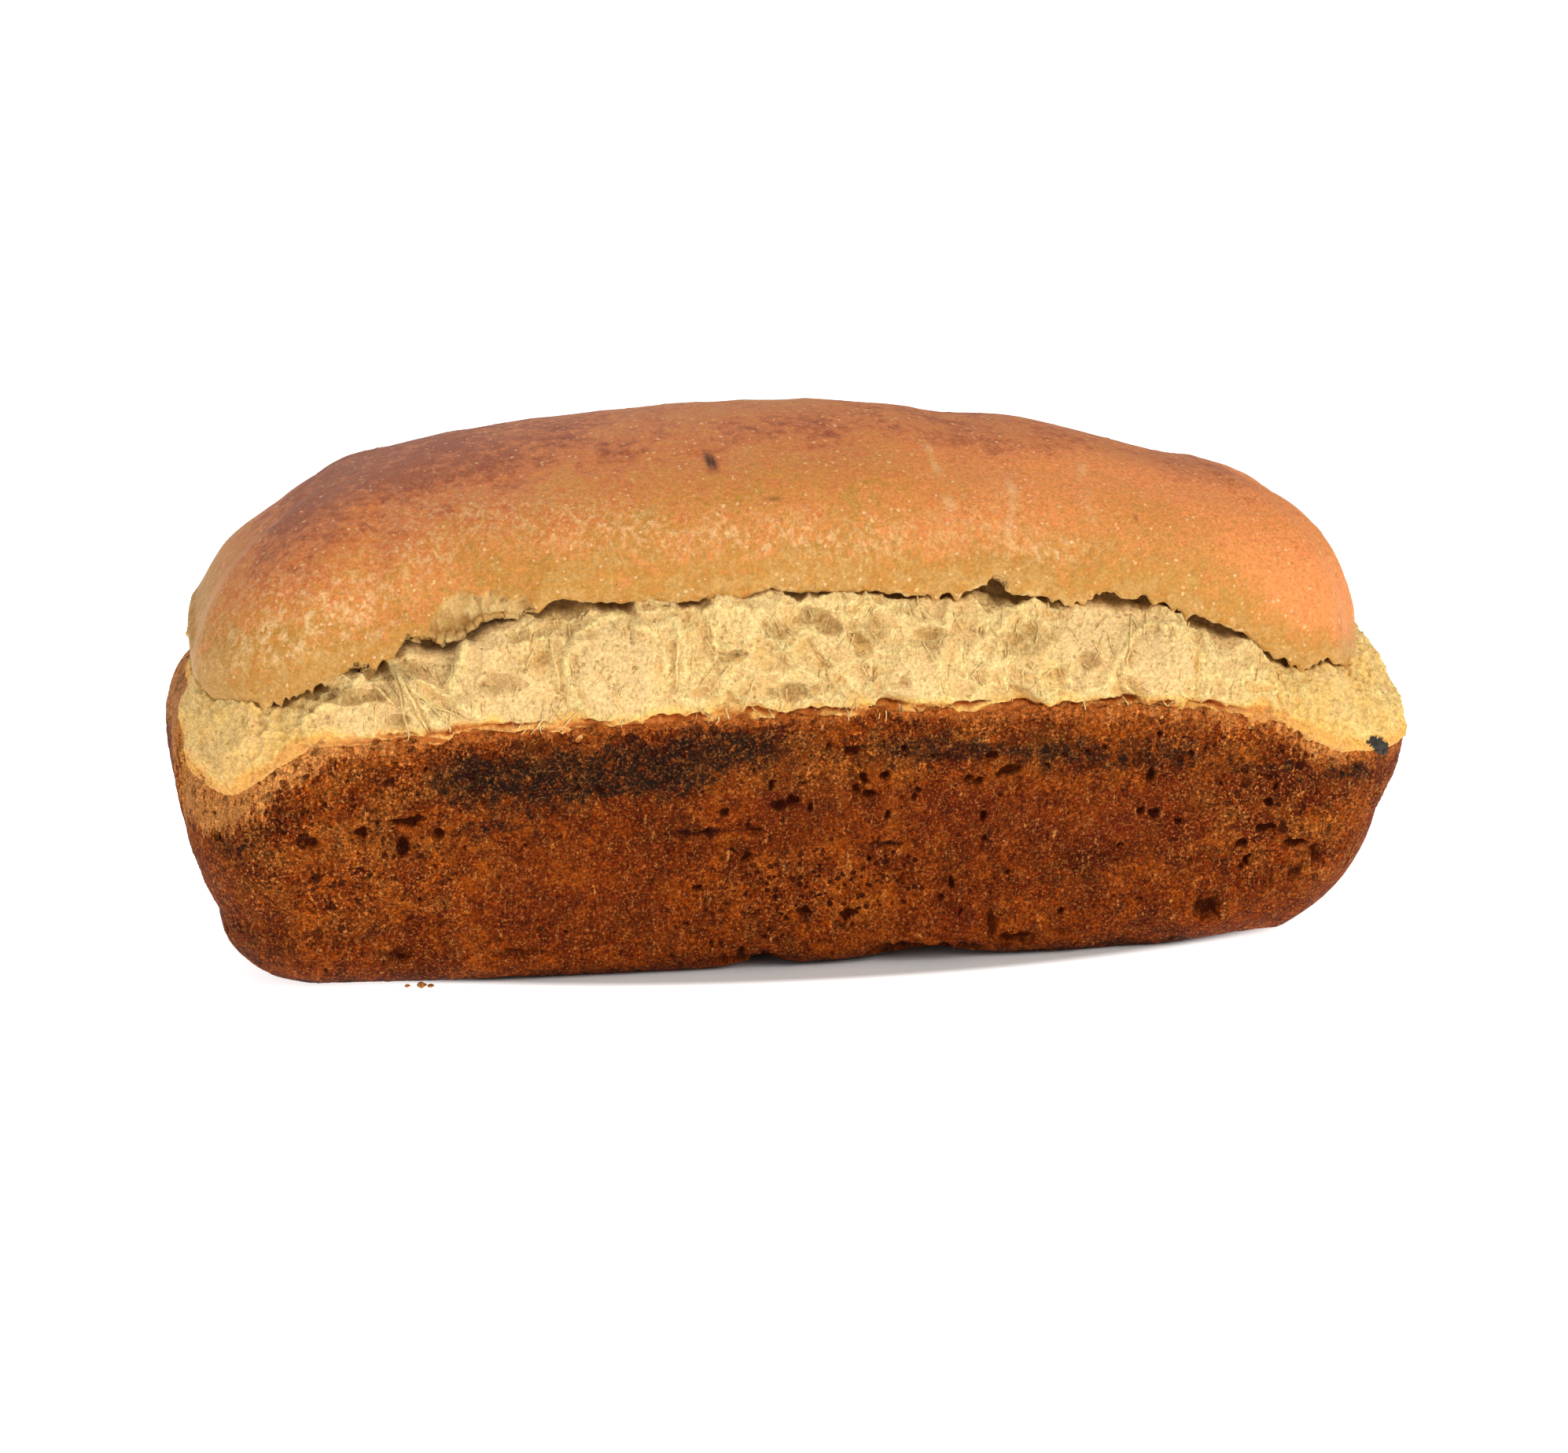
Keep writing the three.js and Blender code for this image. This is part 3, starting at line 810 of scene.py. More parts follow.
    def threads(self, size: float, width: float, stretch: Sizes | None = None) -> Socket:
        """Thin winding lines a size apart, where a noise is within a width of its own mean."""
        past = self.sum("SUBTRACT", self.noise(size, 2, 0.5, stretch), 0.5)
        return self.between(self.sum("ABSOLUTE", past), width, 0.0)

    def between(self, value: object, low: float, high: float, to_low: float = 0.0,
                to_high: float = 1.0) -> Socket:
        """Eases a value from one range into another, held at both ends."""
        inputs = {"Value": value, "From Min": low, "From Max": high, "To Min": to_low, "To Max": to_high}
        return self.node("MapRange", inputs, interpolation_type="SMOOTHSTEP").outputs[0]

    def ramp(self, value: Socket, stops: tuple[tuple[float, Colour], ...]) -> Socket:
        """A run of colours over a value.

        Args:
            value: What the ramp reads.
            stops: Places from 0 to 1, with a colour each.

        Returns:
            The colour.
        """
        node = self.node("ValToRGB", {"Fac": value})
        elements = node.color_ramp.elements
        while len(elements) < len(stops):
            elements.new(0.5)
        for element, (place, colour) in zip(elements, stops):
            element.position = place
            element.color = (*colour, 1.0)
        return node.outputs["Color"]

    def blend(self, a: object, b: object, share: object, how: str = "MIX") -> Socket:
        """One colour laid over another.

        Args:
            a: The lower colour.
            b: The upper colour.
            share: How much of the upper colour shows.
            how: The way of mixing, as the mixer names it.

        Returns:
            The colour.
        """
        node = self.node("Mix", {}, data_type="RGBA", blend_type=how)
        for number, value in zip(self.mix_inputs, (share, a, b)):
            self.put(node.inputs[number], value)
        return node.outputs[2]

    def layers(self, colour: object, *layers: tuple[object, object]) -> Socket:
        """Colours laid one over another.

        Args:
            colour: The ground.
            layers: Each colour over it, with its share from 0 to 1.

        Returns:
            The colour on top.
        """
        for tint, share in layers:
            colour = self.blend(colour, tint, share)
        return colour

    def flake(self, rough: Socket) -> Socket:
        """Where the flake's trait and a rough noise make a ragged patch, as a share from 0 to 1."""
        return self.between(self.weigh((self.trait("flake"), 1.0), (rough, 1.4), (1.0, -0.7)), 0.4, 0.6)

    def bump(self, height: Socket, depth: float, over: object = None) -> Socket:
        """Fine relief of a depth in millimetres in the shading, added to an earlier bump where one is given."""
        normal = {} if over is None else {"Normal": over}
        return self.node("Bump", {"Height": height, "Distance": depth * MM, **normal}).outputs[0]

    def dressed(self, colour: object, roughness: object, shine: float, normal: object,
                soft: tuple[float, Sizes, float] | None = None) -> bpy.types.Material:
        """Feeds the shader.

        Args:
            colour: Base colour.
            roughness: Roughness.
            shine: Strength of the mirror-like reflection.
            normal: The bumps' normal, or None for a plain surface.
            soft: Light that passes under the surface: its weight, its reach by colour and its scale in millimetres.

        Returns:
            The finished material.
        """
        inputs = {"Base Color": colour, "Roughness": roughness, "Specular IOR Level": shine, "Normal": normal}
        if soft:
            weight, radius, scale = soft
            inputs |= {"Subsurface Weight": weight, "Subsurface Radius": radius, "Subsurface Scale": scale * MM}
        for name, value in inputs.items():
            if value is not None:
                self.put(self.shader.inputs[name], value)
        return self.material


@dataclass(frozen=True)
class TinCrustFinish:
    """Dry, granular, well-baked crust: browns with light grains that are partly painted glints, charred patches,
    painted shade along the foot, and dark pits of painted shade.
    """

    name: str = "tin_crust_finish"
    dark: Colour = rgb(74, 20, 0)
    brown: Colour = rgb(116, 40, 0)
    light: Colour = rgb(160, 71, 3)
    ruddy: Colour = rgb(98, 26, 8)
    tan: Colour = rgb(170, 93, 28)
    toast: Colour = rgb(184, 96, 36)
    blond: Colour = rgb(220, 146, 76)
    # pale grains: partly the crust's own light flecks, partly painted glints in place of highlights
    grain: Colour = rgb(218, 140, 68)
    gap: Colour = rgb(50, 10, 0)
    # near black for charred patches, also laid along the foot as painted shade under the front edge
    char_and_shade: Colour = rgb(31, 19, 13)
    flake: Colour = rgb(76, 70, 60)
    # painted shade: dark brown inside the dug pits, scratches and gashes, and in holes drawn only in the shading
    pit_shadow: Colour = rgb(48, 8, 0)
    roughness: float = 0.62
    shine: float = 0.05
    coarse_bump: float = 1.3
    fine_bump: float = 0.5

    def material(self) -> bpy.types.Material:
        """Lays the nodes: patches of brown, toasted edge, grains partly painted as glints, gaps, charred patches with
        painted shade along the foot, painted shade in the pits, and a fine grain of bumps.
        """
        s = Sheet(self.name)
        fine = s.noise(0.8, 4, 0.75)
        tone = s.weigh((s.noise(19, 3, 0.55), 0.3), (s.noise(4.2, 4, 0.66), 0.36), (fine, 0.4), (1.0, -0.03))
        colour = s.ramp(tone, ((0.42, self.dark), (0.5, self.brown), (0.58, self.light)))
        coarse = s.times(s.trait("coarse"), s.between(s.noise(6, 2), 0.36, 0.62, 0.35, 1.0))
        streak = s.weigh((s.noise(1.5, 4, 0.7, (1.0, 1.0, 3.6)), 1.0), (fine, 0.7), (1.0, -0.85))
        toasted = s.between(s.weigh((s.trait("toast"), 1.0), (streak, 2.6)), 0.25, 1.0, 0.0, 0.85)
        blond = s.between(s.weigh((s.trait("blond"), 1.0), (streak, 3.4)), 0.35, 1.0, 0.0, 0.9)
        gaps = s.times(s.between(s.noise(1.1, 3, 0.65), 0.47, 0.36), s.weigh((coarse, 0.55), (1.0, 0.35)))
        # light grains and pale dots in the grain colour: partly light flecks, partly painted glints
        grains = s.between(s.noise(0.66, 3, 0.7), 0.5, 0.7)
        dots = s.dots(s.spots(0.95), 0.22, 0.08, s.between(s.noise(3, 2), 0.44, 0.58, 0.0, 0.8))
        pale = s.most(s.times(grains, s.weigh((coarse, 0.75), (1.0, 0.3))), dots)
        # charred patches, with painted shade along the foot mixed in
        mottle = s.weigh((s.trait("char_and_shade"), 0.8), (s.noise(2.6, 5, 0.78), 2.8), (1.0, -1.4))
        burnt = s.between(mottle, 0.28, 0.85, 0.0, 0.96)
        burnt = s.times(burnt, s.between(s.noise(1.7, 4, 0.74), 0.5, 0.62, 1.0, 0.34))
        colour = s.layers(
            colour,
            (self.ruddy, s.times(s.trait("ruddy"), 0.6)),
            (self.tan, s.times(coarse, s.between(s.noise(8, 3), 0.45, 0.6, 0.0, 0.55))),
            (self.toast, toasted),
            (self.blond, blond),
            (self.gap, s.times(gaps, s.weigh((blond, -0.8), (1.0, 1.0)))),
            (self.char_and_shade, burnt),
            (self.grain, s.times(pale, s.between(burnt, 0.0, 0.9, 1.0, 0.4))),
            (self.flake, s.flake(fine)),
        )
        # pores, holes and pricks drawn only in the shading: dark dots of painted shade, also pressed in as bumps
        pores = s.dots(s.spots(1.8, 0.7, 0.42), 0.07, -0.03, s.trait("cluster"))
        open_here = s.times(s.trait("coarse"), s.between(s.noise(7, 2), 0.42, 0.55))
        holes = s.dots(s.spots(3.2, 1.6, 0.44), 0.05, -0.03, open_here)
        pricks = s.dots(s.spots(1.5, 0.6, 0.24), 0.03, -0.05, s.between(s.noise(5, 2), 0.42, 0.56, 0.2, 1.0))
        dark = s.most(pores, holes, s.times(pricks, 0.7))
        colour = s.mottled(colour, 0.7, 0.45)
        colour = s.layers(
            colour,
            (s.mottled(colour, 1.3, 0.8), s.between(coarse, 0.1, 0.8, 0.0, 0.9)),
            (self.pit_shadow, s.times(s.most(s.trait("pit_shadow"), dark), 0.88)),
        )
        bumps = s.bump(s.weigh((s.noise(1.2, 4, 0.66), 1.0), (dark, -0.6)), self.coarse_bump)
        bumps = s.bump(s.noise(0.5, 2, 0.5), self.fine_bump, bumps)
        return s.dressed(colour, self.roughness, self.shine, bumps)


@dataclass(frozen=True)
class TornCrumbFinish:
    """Soft pale crumb: cream, a darker cream of painted shade in the hollows, painted shade in the pores and the
    cleft, yellower on the webs, toasted next to the tin crust.
    """

    name: str = "torn_crumb_finish"
    cream: Colour = rgb(242, 204, 144)
    # painted shade in the cells and holes, and over the left end; also laid as a fine random grain
    hollow_shade: Colour = rgb(222, 178, 108)
    # dark dots of painted shade in the small pores
    pore_shadow: Colour = rgb(184, 130, 66)
    web: Colour = rgb(255, 222, 150)
    gold: Colour = rgb(255, 208, 118)
    ochre: Colour = rgb(246, 176, 84)
    toast: Colour = rgb(231, 168, 98)
    # rusty orange by the tin crust's edge: partly toasted colour, partly painted shade between the layers and in the
    # slits
    rust: Colour = rgb(176, 84, 22)
    # dark brown of painted shade in the cleft under the lip and in the deepest holes
    deep: Colour = rgb(116, 72, 22)
    flake: Colour = rgb(64, 60, 54)
    roughness: float = 0.74
    shine: float = 0.12
    soft: tuple[float, Sizes, float] = (0.25, (1.0, 0.55, 0.22), 1.4)
    coarse_bump: float = 0.6
    fine_bump: float = 0.22

    def material(self) -> bpy.types.Material:
        """Lays the nodes: cream, painted shade in the hollows, the pores and the cleft, webs and threads, the toasted
        band, and their bumps.
        """
        s = Sheet(self.name)
        pores = s.dots(s.spots(1.4, 0.5, 0.36), 0.05, -0.05, s.between(s.noise(3.6, 2), 0.4, 0.56))
        grainy = s.between(s.noise(1.0, 4, 0.78), 0.48, 0.64)
        threads = s.times(s.threads(1.5, 0.03, (1.0, 1.0, 2.6)), s.weigh((s.trait("web"), 0.8), (1.0, 0.15)))
        webbed = s.times(s.trait("web"), s.between(s.noise(2.2, 3), 0.3, 0.6, 0.3, 1.0))
        streaks = s.weigh((s.noise(1.7, 4, 0.65, (1.0, 1.0, 3.2)), 1.0), (1.0, -0.5))
        warm = s.weigh((s.trait("warm"), 1.0), (s.noise(7, 3), 0.8), (streaks, 0.9), (1.0, -0.4))
        edge = s.weigh((s.trait("toast"), 1.0), (streaks, 3.6))
        colour = s.layers(
            self.cream,
            (self.hollow_shade, s.trait("hollow_shade")),
            (self.hollow_shade, s.times(grainy, 0.8)),
            (self.pore_shadow, s.times(pores, 0.6)),
            (self.web, s.most(webbed, s.times(threads, 0.8))),
            (self.gold, s.between(warm, 0.2, 0.95, 0.0, 0.9)),
            (self.ochre, s.between(warm, 0.7, 1.15, 0.0, 0.8)),
            (self.toast, s.between(edge, 0.4, 1.2, 0.0, 0.8)),
            (self.rust, s.trait("rust_and_shade")),
            (self.deep, s.trait("deep")),
            (self.flake, s.flake(s.noise(1.0, 4, 0.7))),
        )
        bumps = s.bump(s.weigh((pores, -0.5), (threads, 0.3), (s.noise(1.1, 4, 0.66), 1.0)), self.coarse_bump)
        bumps = s.bump(s.noise(0.5, 3, 0.6), self.fine_bump, bumps)
        return s.dressed(s.mottled(colour, 0.8, 0.27), self.roughness, self.shine, bumps, self.soft)


@dataclass(frozen=True)
class TopCrustFinish:
    """Smooth golden crust with a soft sheen: pale at the lip, orange-brown on top, dotted with tiny blisters."""

    name: str = "top_crust_finish"
    straw: Colour = rgb(200, 150, 78)
    gold: Colour = rgb(192, 134, 54)
    amber: Colour = rgb(214, 138, 66)
    brown: Colour = rgb(212, 122, 64)
    umber: Colour = rgb(164, 82, 40)
    # painted highlight: the right flank lighter and pinker, where the key light falls
    rosy_highlight: Colour = rgb(250, 150, 84)
    torn: Colour = rgb(232, 196, 130)
    shade: Colour = rgb(190, 146, 82)
    frost: Colour = rgb(244, 202, 144)
    speck: Colour = rgb(70, 32, 18)
    roughness: float = 0.5
    torn_roughness: float = 0.75
    shine: float = 0.22
    soft: tuple[float, Sizes, float] = (0.1, (1.0, 0.5, 0.2), 1.2)
    coarse_bump: float = 0.42
    fine_bump: float = 0.2

    def material(self) -> bpy.types.Material:
        """Lays the nodes: the bake from lip to crest, a lighter, pinker painted highlight on the right flank,
        blisters, streaks, specks, painted shade in the torn hollows, and low bumps.
        """
        s = Sheet(self.name)
        fine = s.noise(1.1, 5, 0.74)
        uneven = s.weigh((s.trait("bake"), 1.0), (fine, 0.6), (s.noise(3.0, 4, 0.62), 0.9),
                         (s.noise(12, 3, 0.6), 0.6), (1.0, -1.05))
        colour = s.ramp(uneven, ((0.0, self.straw), (0.18, self.gold), (0.42, self.amber),
                                 (0.72, self.brown), (1.0, self.umber)))
        dots = s.dots(s.spots(1.6, 0.5, 0.3), 0.04, -0.06, s.between(s.noise(5, 2), 0.4, 0.56, 0.2, 1.0))
        drift = s.between(s.noise(1.6, 5, 0.76, (1.0, 1.0, 1.6)), 0.44, 0.66)
        frost = s.times(s.weigh((s.trait("frost"), 0.9), (1.0, 0.1)), drift)
        # painted shade in the hollows of the torn crumb under the lip, with fine random blotches
        hollow_shade = s.most(s.trait("hollow_shade"), s.between(s.noise(1.4, 4, 0.74), 0.5, 0.68, 0.0, 0.7))
        colour = s.layers(
            colour,
            (self.rosy_highlight, s.times(s.trait("rosy_highlight"), s.between(fine, 0.62, 0.4, 0.25, 0.9))),
            (self.frost, s.times(s.most(dots, frost, s.trait("streak")), 0.72)),
            (self.umber, s.dots(s.spots(0.9), 0.24, 0.08, s.between(s.noise(5, 2), 0.42, 0.6, 0.1, 0.6))),
            (self.speck, s.dots(s.spots(2.1), 0.1, 0.05, s.between(s.noise(6, 2), 0.5, 0.6, 0.0, 0.8))),
            (s.blend(self.torn, self.shade, hollow_shade), s.trait("torn")),
        )
        colour = s.blend(s.mottled(colour, 0.8, 0.2), self.speck, s.trait("speck"))
        roughness = s.between(s.trait("torn"), 0.1, 0.6, self.roughness, self.torn_roughness)
        bumps = s.bump(s.noise(2.4, 4, 0.62), self.coarse_bump)
        bumps = s.bump(s.noise(0.6, 3, 0.6), self.fine_bump, bumps)
        return s.dressed(colour, roughness, self.shine, bumps, self.soft)


@dataclass(frozen=True)
class Patch:
    """A place on the front, by its x and z in millimetres, with its half sizes and a strength."""

    x: float
    z: float
    half_x: float
    half_z: float
    strength: float = 1.0
    turn: float = 0.0

    def away(self, points: Array) -> Array:
        """The square of the distance from the patch's middle, in its own half sizes, turned by its own degrees.

        Args:
            points: Where to measure.

        Returns:
            The square at each point.
        """
        cos, sin = math.cos(math.radians(self.turn)), math.sin(math.radians(self.turn))
        x, z = points[..., 0] - self.x, points[..., 2] - self.z
        return ((x * cos + z * sin) / self.half_x) ** 2 + ((z * cos - x * sin) / self.half_z) ** 2

    def over(self, points: Array) -> Array:
        """How much of the patch lies at each point: a smooth hill on the side that faces -Y."""
        return self.strength * np.exp(-self.away(points)) * (points[..., 1] < 0)

    def bowl(self, points: Array) -> Array:
        """How deep a bowl of the patch's size is at each point: half a ball's profile, sharp at its rim."""
        return self.strength * np.sqrt(np.clip(1 - self.away(points), 0, 1)) * (points[..., 1] < 0)


Patches = tuple[Patch, ...]


def patches(*rows: tuple[float, ...]) -> Patches:
    """Patches, one from each row of numbers."""
    return tuple(Patch(*row) for row in rows)


def total(places: Patches, points: Array) -> Array:
    """Several patches' hills, added up at each point."""
    return sum(place.over(points) for place in places)


def deepest(places: Patches, points: Array) -> Array:
    """The deepest of several patches' bowls at each point."""
    return np.max([place.bowl(points) for place in places], axis=0)


BURNT_FLAKE = Patch(130.2, 48.4, 3.6, 1.7, 1.4, -42)  # a dark flake at the right corner, over crust and crumb alike


@dataclass(frozen=True)
class Pits:
    """Small bubbles open at the surface: bowls of one range of sizes, scattered by chance."""

    spacing: float
    least: float
    most: float
    depth: float
    chance: float
    seed: int
    crowding: float = 0.25

    def dig(self, points: Array, crowd: Array) -> Array:
        """Depth of the bowls, each a half ball's profile round its seed.

        Args:
            points: The surface.
            crowd: Where bowls crowd: the crowding's share of it is added to the chance.

        Returns:
            Depth in millimetres at each point.
        """
        near, _, luck = Lattice.cells(points, self.spacing, self.seed)
        more = crowd * self.crowding
        share = np.clip(luck / np.maximum(self.chance + more, 1e-6), 0, 1)
        radius = mix(self.most, self.least, share) / self.spacing
        bowl = np.sqrt(np.clip(1 - (near / radius) ** 2, 0, 1))
        return np.where(luck < self.chance + more, bowl, 0) * self.depth


@dataclass
class TinCrust:
    """The crust that baked against the tin: underside, rounded foot, walls, and a torn upper edge."""

    form: LoafForm
    finish: TinCrustFinish = field(default_factory=TinCrustFinish)
    spacing: Spacing = Spacing(front=0.48, corner=0.85, end=1.3, back=1.5)
    foot_rows: int = 14
    wall_rows: int = 82
    edge_rows: tuple[Pair, ...] = ((0.35, 0.2), (0.8, 0.1), (1.2, -0.8), (2.2, -4.0), (4.5, -8.0))
    rag: Ripples = (Ripple(9.0, 1.1, 301), Ripple(3.0, 1.0, 302), Ripple(1.2, 0.8, 303))
    soft_rag: float = 0.5
    soft_thickness: float = 0.6
    waves: Ripple = Ripple(9, 0.7, 41)
    hollows: Ripple = Ripple(24, 2.6, 67)
    hollow_threshold: float = 0.15
    foot_share: float = 0.25
    crook: Ripple = Ripple(2.0, 0.9, 161)
    bubbles: Foam = Foam(1.9, 171, 5)
    bubble_depth: float = 0.34
    bubble_floor: float = 0.4
    grain: Ripple = Ripple(1.2, 0.16, 91)
    smooth_edge: float = 3.0
    least_coarse: float = 0.15
    hidden_from: Pair = (-2, 10)
    hidden_coarse: float = 0.7
    hidden_char: float = 0.9
    hidden_band: Pair = (9, 5)
    hidden_band_places: Ripple = Ripple(34, 1.6, 131, 0.1)
    hidden_ruddy_places: Ripple = Ripple(30, 1, 141, -0.1)
    # darker along the foot: partly a charred bottom edge, partly painted shade under the front edge
    foot_char_and_shade: float = 0.75
    foot_char_and_shade_height: float = 6
    foot_char_and_shade_places: Ripple = Ripple(15, 1, 143, 0.7)
    cut_char: float = 1.2
    most_char: float = 1.1
    pit_shade: Sizes = (1.43, 2.4, 0.6)  # for bubbles, scratches and gashes
    toast_waver: Ripple = Ripple(7, 0.35, 137)
    toast_from: float = 1.2
    blond_fall: Sizes = (1.05, 1.25, 1.3)  # strength, start and fall
    blond_from: Pair = (4.4, 4)
    # Each row of the tables: x, z, half sizes, strength and turn, read off the front of the loaf.
    gashes: Patches = patches(
        (45, 5.5, 5, 1.6, 1.8), (55, 6.5, 3, 1), (90, 10.5, 3.2, 2.6, 2.4), (24, 3.4, 14, 2, 2),
        (-18, 3, 9, 1.4, 1.4), (-99, 9, 3, 1.4, 1.2), (-72, 8, 6, 1.1, 1.2), (38.5, 9, 0.9, 5, 1.4),
    )
    flap: Patch = Patch(27, 9, 11, 7, 1.5)
    flap_edge: Pair = (0.1875, 0.625)
    burnt: Patches = patches(
        (-86, 51, 11, 6, 0.8), (-66, 52, 17, 6), (-42, 52, 15, 7), (-22, 55.5, 14, 5, 1.3),
        (12, 54, 14, 5, 0.75), (30, 53.5, 12, 4, 0.7), (-40, 49, 16, 6, 0.5), (52, 51, 18, 4.5, 0.85),
        (78, 49, 18, 5, 0.75), (104, 45, 14, 3.5, 0.5), (121, 43, 9, 4, 0.4), (-76, 40, 12, 8, 0.55),
        (-103, 36, 16, 8, 0.5), (-58, 36, 8, 4, 0.35), (-130, 10, 9, 8, 0.6), (-60, 46, 9, 2.5, 0.6),
        (110, 42, 0.8, 0.6, 1.5), (103, 45.7, 0.6, 0.6, 1.4), (107.5, 46, 0.6, 0.6, 1.4), (125, 43, 7, 2.6, 0.6),
        (-134, 36, 7, 6, 0.65), (60, 42, 16, 4, 0.35), (92, 38, 12, 3, 0.3),
    )
    holes: Patches = patches(
        (-97, 41.5, 3.85, 1.29, 1.6), (-107.5, 39, 1.78, 1.57, 1.4), (-118.5, 37.5, 2.2, 1.29, 1.3),
        (-98, 35, 1.52, 2.15, 1.4), (-90, 38, 1.52, 1.29, 1.3), (-13.5, 45.5, 0.92, 1.27, 1.2),
        (-12, 41, 1.68, 1.59, 1.5), (-9, 42, 1.37, 1.27, 1.4), (-5, 40.3, 0.76, 1.27, 1.1),
        (-25, 40, 1.22, 0.95, 1.1), (-17.5, 36, 1.23, 0.72, 1.1), (12, 47.3, 1.52, 1.27, 1.4),
        (7.4, 46.7, 1.37, 1.11, 1.3), (5.5, 44.2, 1.52, 0.95, 1.3), (8.6, 43.5, 1.68, 1.11, 1.3),
        (4, 53.6, 1.98, 1.27, 1.2), (20, 44, 0.92, 0.95, 1.1), (19.3, 42.2, 0.76, 0.79),
        (41, 46.7, 2.9, 1.27, 1.4), (31, 45.7, 1.07, 1.11, 1.2), (33.5, 45, 1.22, 1.11, 1.2),
        (36.7, 51, 1.22, 1.43, 1.2), (4.6, 13.4, 1.78, 1.57, 1.5), (29, 20, 0.97, 1.57, 1.3),
        (42, 22.6, 0.97, 0.72), (30.8, 13.2, 0.83, 0.72), (-19.5, 28.8, 1.1, 1, 1.1),
        (103, 36.6, 1.38, 1.29, 1.4), (103, 30.6, 1.93, 1.43, 1.5), (97, 26.4, 1.52, 1.29, 1.5),
        (99, 22, 1.23, 1.57, 1.5), (115, 23.5, 1.38, 2.29, 1.5), (110.5, 18, 1.23, 1.72, 1.4),
        (110, 26, 2.75, 1, 1.2), (76, 35.7, 1.52, 1.14, 1.4), (72.4, 36.5, 1.23, 1, 1.3), (82, 33, 1.1, 1.14, 1.2),
        (74.3, 44.6, 0.83, 1.57, 1.2), (104.7, 40.8, 0.83, 1.43, 1.2),
    )
    ruddy_places: Patches = patches(
        (-12, 41, 12, 5, 0.8), (30, 38, 22, 7, 0.7), (72, 34, 26, 7, 0.9), (119, 43, 14, 5, 1.6),
        (27, 11, 11, 6, 0.8), (-60, 20, 26, 10, 0.4), (112, 18, 14, 10, 0.7),
    )
    open_grain: Patches = patches(
        (-112, 34, 34, 26), (112, 34, 34, 22), (0, 54, 120, 10, 0.95), (-5, 18, 26, 12, 0.6),
    )
    clusters: Patches = patches(
        (-5, 20, 26, 10, 0.6), (10, 24, 14, 8, 0.5), (10, 47, 34, 3.5, 0.3), (-80, 36, 34, 10, 0.25),
        (102, 36, 16, 12, 0.3), (-90, 12, 30, 8, 0.2),
    )
    scratches: Patches = patches((-31, 35.5, 6.0, 0.6, 0.9), (12.5, 30.5, 4, 0.6, 0.8))
    pits: tuple[Pits, ...] = (
        Pits(8, 0.8, 1.4, 1.4, 0.28, 71), Pits(4.2, 0.5, 1.0, 0.9, 0.24, 75), Pits(2.3, 0.4, 0.7, 0.6, 0.1, 79, 1.0),
    )

    def skin(self) -> Skin:
        """Works out the crust's points and traits.

        Rows run from inside the underside round the foot, up the wall to the torn edge, over it, and
        down its inner face.
        """
        form, plan = self.form, self.form.plan(self.spacing)
        at = plan.at
        edge = np.stack([at["edge_x"], at["edge_y"], np.zeros(len(plan.core))], axis=-1)
        firm = np.clip(at["ledge"], 0, 1)
        rim = at["rim_height"] + sum(ripple.at(edge) for ripple in self.rag) * mix(self.soft_rag, 1, firm)
        foot_radius = form.wall_radius(at, at["foot_round"])
        inner = np.maximum(form.least_turn, foot_radius - at["foot_round"])
        flat = plan.place(inner, np.zeros_like(inner), form) * (form.under_share, form.under_share, 0)
        share = (np.arange(self.foot_rows + 1) / self.foot_rows)[:, None]
        turn = share * np.pi / 2
        radius = np.maximum(inner, foot_radius - at["foot_round"] * (1 - np.sin(turn)))
        foot = plan.place(radius, at["foot_round"] * (1 - np.cos(turn)) + form.arch(plan) * (1 - share), form)
        up = (np.arange(1, self.wall_rows + 1) / self.wall_rows)[:, None]
        height = mix(at["foot_round"], rim, up)
        wall = plan.place(form.wall_radius(at, height) + at["wall_bulge"] * np.sin(np.pi * up), height, form)
        rim_radius = form.wall_radius(at, rim)
        thin = mix(self.soft_thickness, 1, firm)
        over = np.stack([plan.place(rim_radius - inward * thin, rim + rise, form) for inward, rise in self.edge_rows])
        points = np.concatenate([flat[None], foot, wall, over])
        on_wall = np.zeros((len(points), 1))
        on_wall[2:2 + self.foot_rows + self.wall_rows] = 1
        share_up = np.clip((np.arange(len(points)) - self.foot_rows - 1) / self.wall_rows, 0, 1)[:, None]
        return self.relief(plan, points, on_wall, share_up, rim)

    def relief(self, plan: Plan, points: Array, on_wall: Array, share_up: Array, rim: Array) -> Skin:
        """Presses the tin's marks, the pits and the grain into the crust, and keeps its traits.

        Args:
            plan: The columns.
            points: The plain crust.
            on_wall: 1 where relief belongs.
            share_up: Share of the way up the wall.
            rim: Height of the torn edge at each column.

        Returns:
            The finished skin.
        """
        near_foot = 1 - smooth(share_up / self.foot_share)
        dent = self.hollows.above(points, self.hollow_threshold) * near_foot
        dent += self.waves.above(points) * (1 - near_foot)
        crooked = points + self.crook.sway(points)
        crowd = total(self.clusters, points)
        hidden = smooth((points[..., 1] - self.hidden_from[0]) / self.hidden_from[1])
        dug = np.max([pits.dig(crooked, crowd) for pits in self.pits], axis=0)
        dug = np.maximum(dug, deepest(self.holes, crooked))
        cut = total(self.scratches, crooked)
        gash = sum(patch.bowl(crooked) for patch in self.gashes)
        coarse = np.clip(total(self.open_grain, points) + self.hidden_coarse * hidden, self.least_coarse, 1)
        bubbles = self.bubble_depth * coarse * (self.bubbles.form(crooked)[0] - self.bubble_floor)
        grain = self.grain.strength * Lattice.rough(points, self.grain.size, self.grain.seed, 2)
        below = rim - points[..., 2]
        upper = smooth(1 - below / self.smooth_edge)
        lap = self.flap.over(points) / self.flap.strength
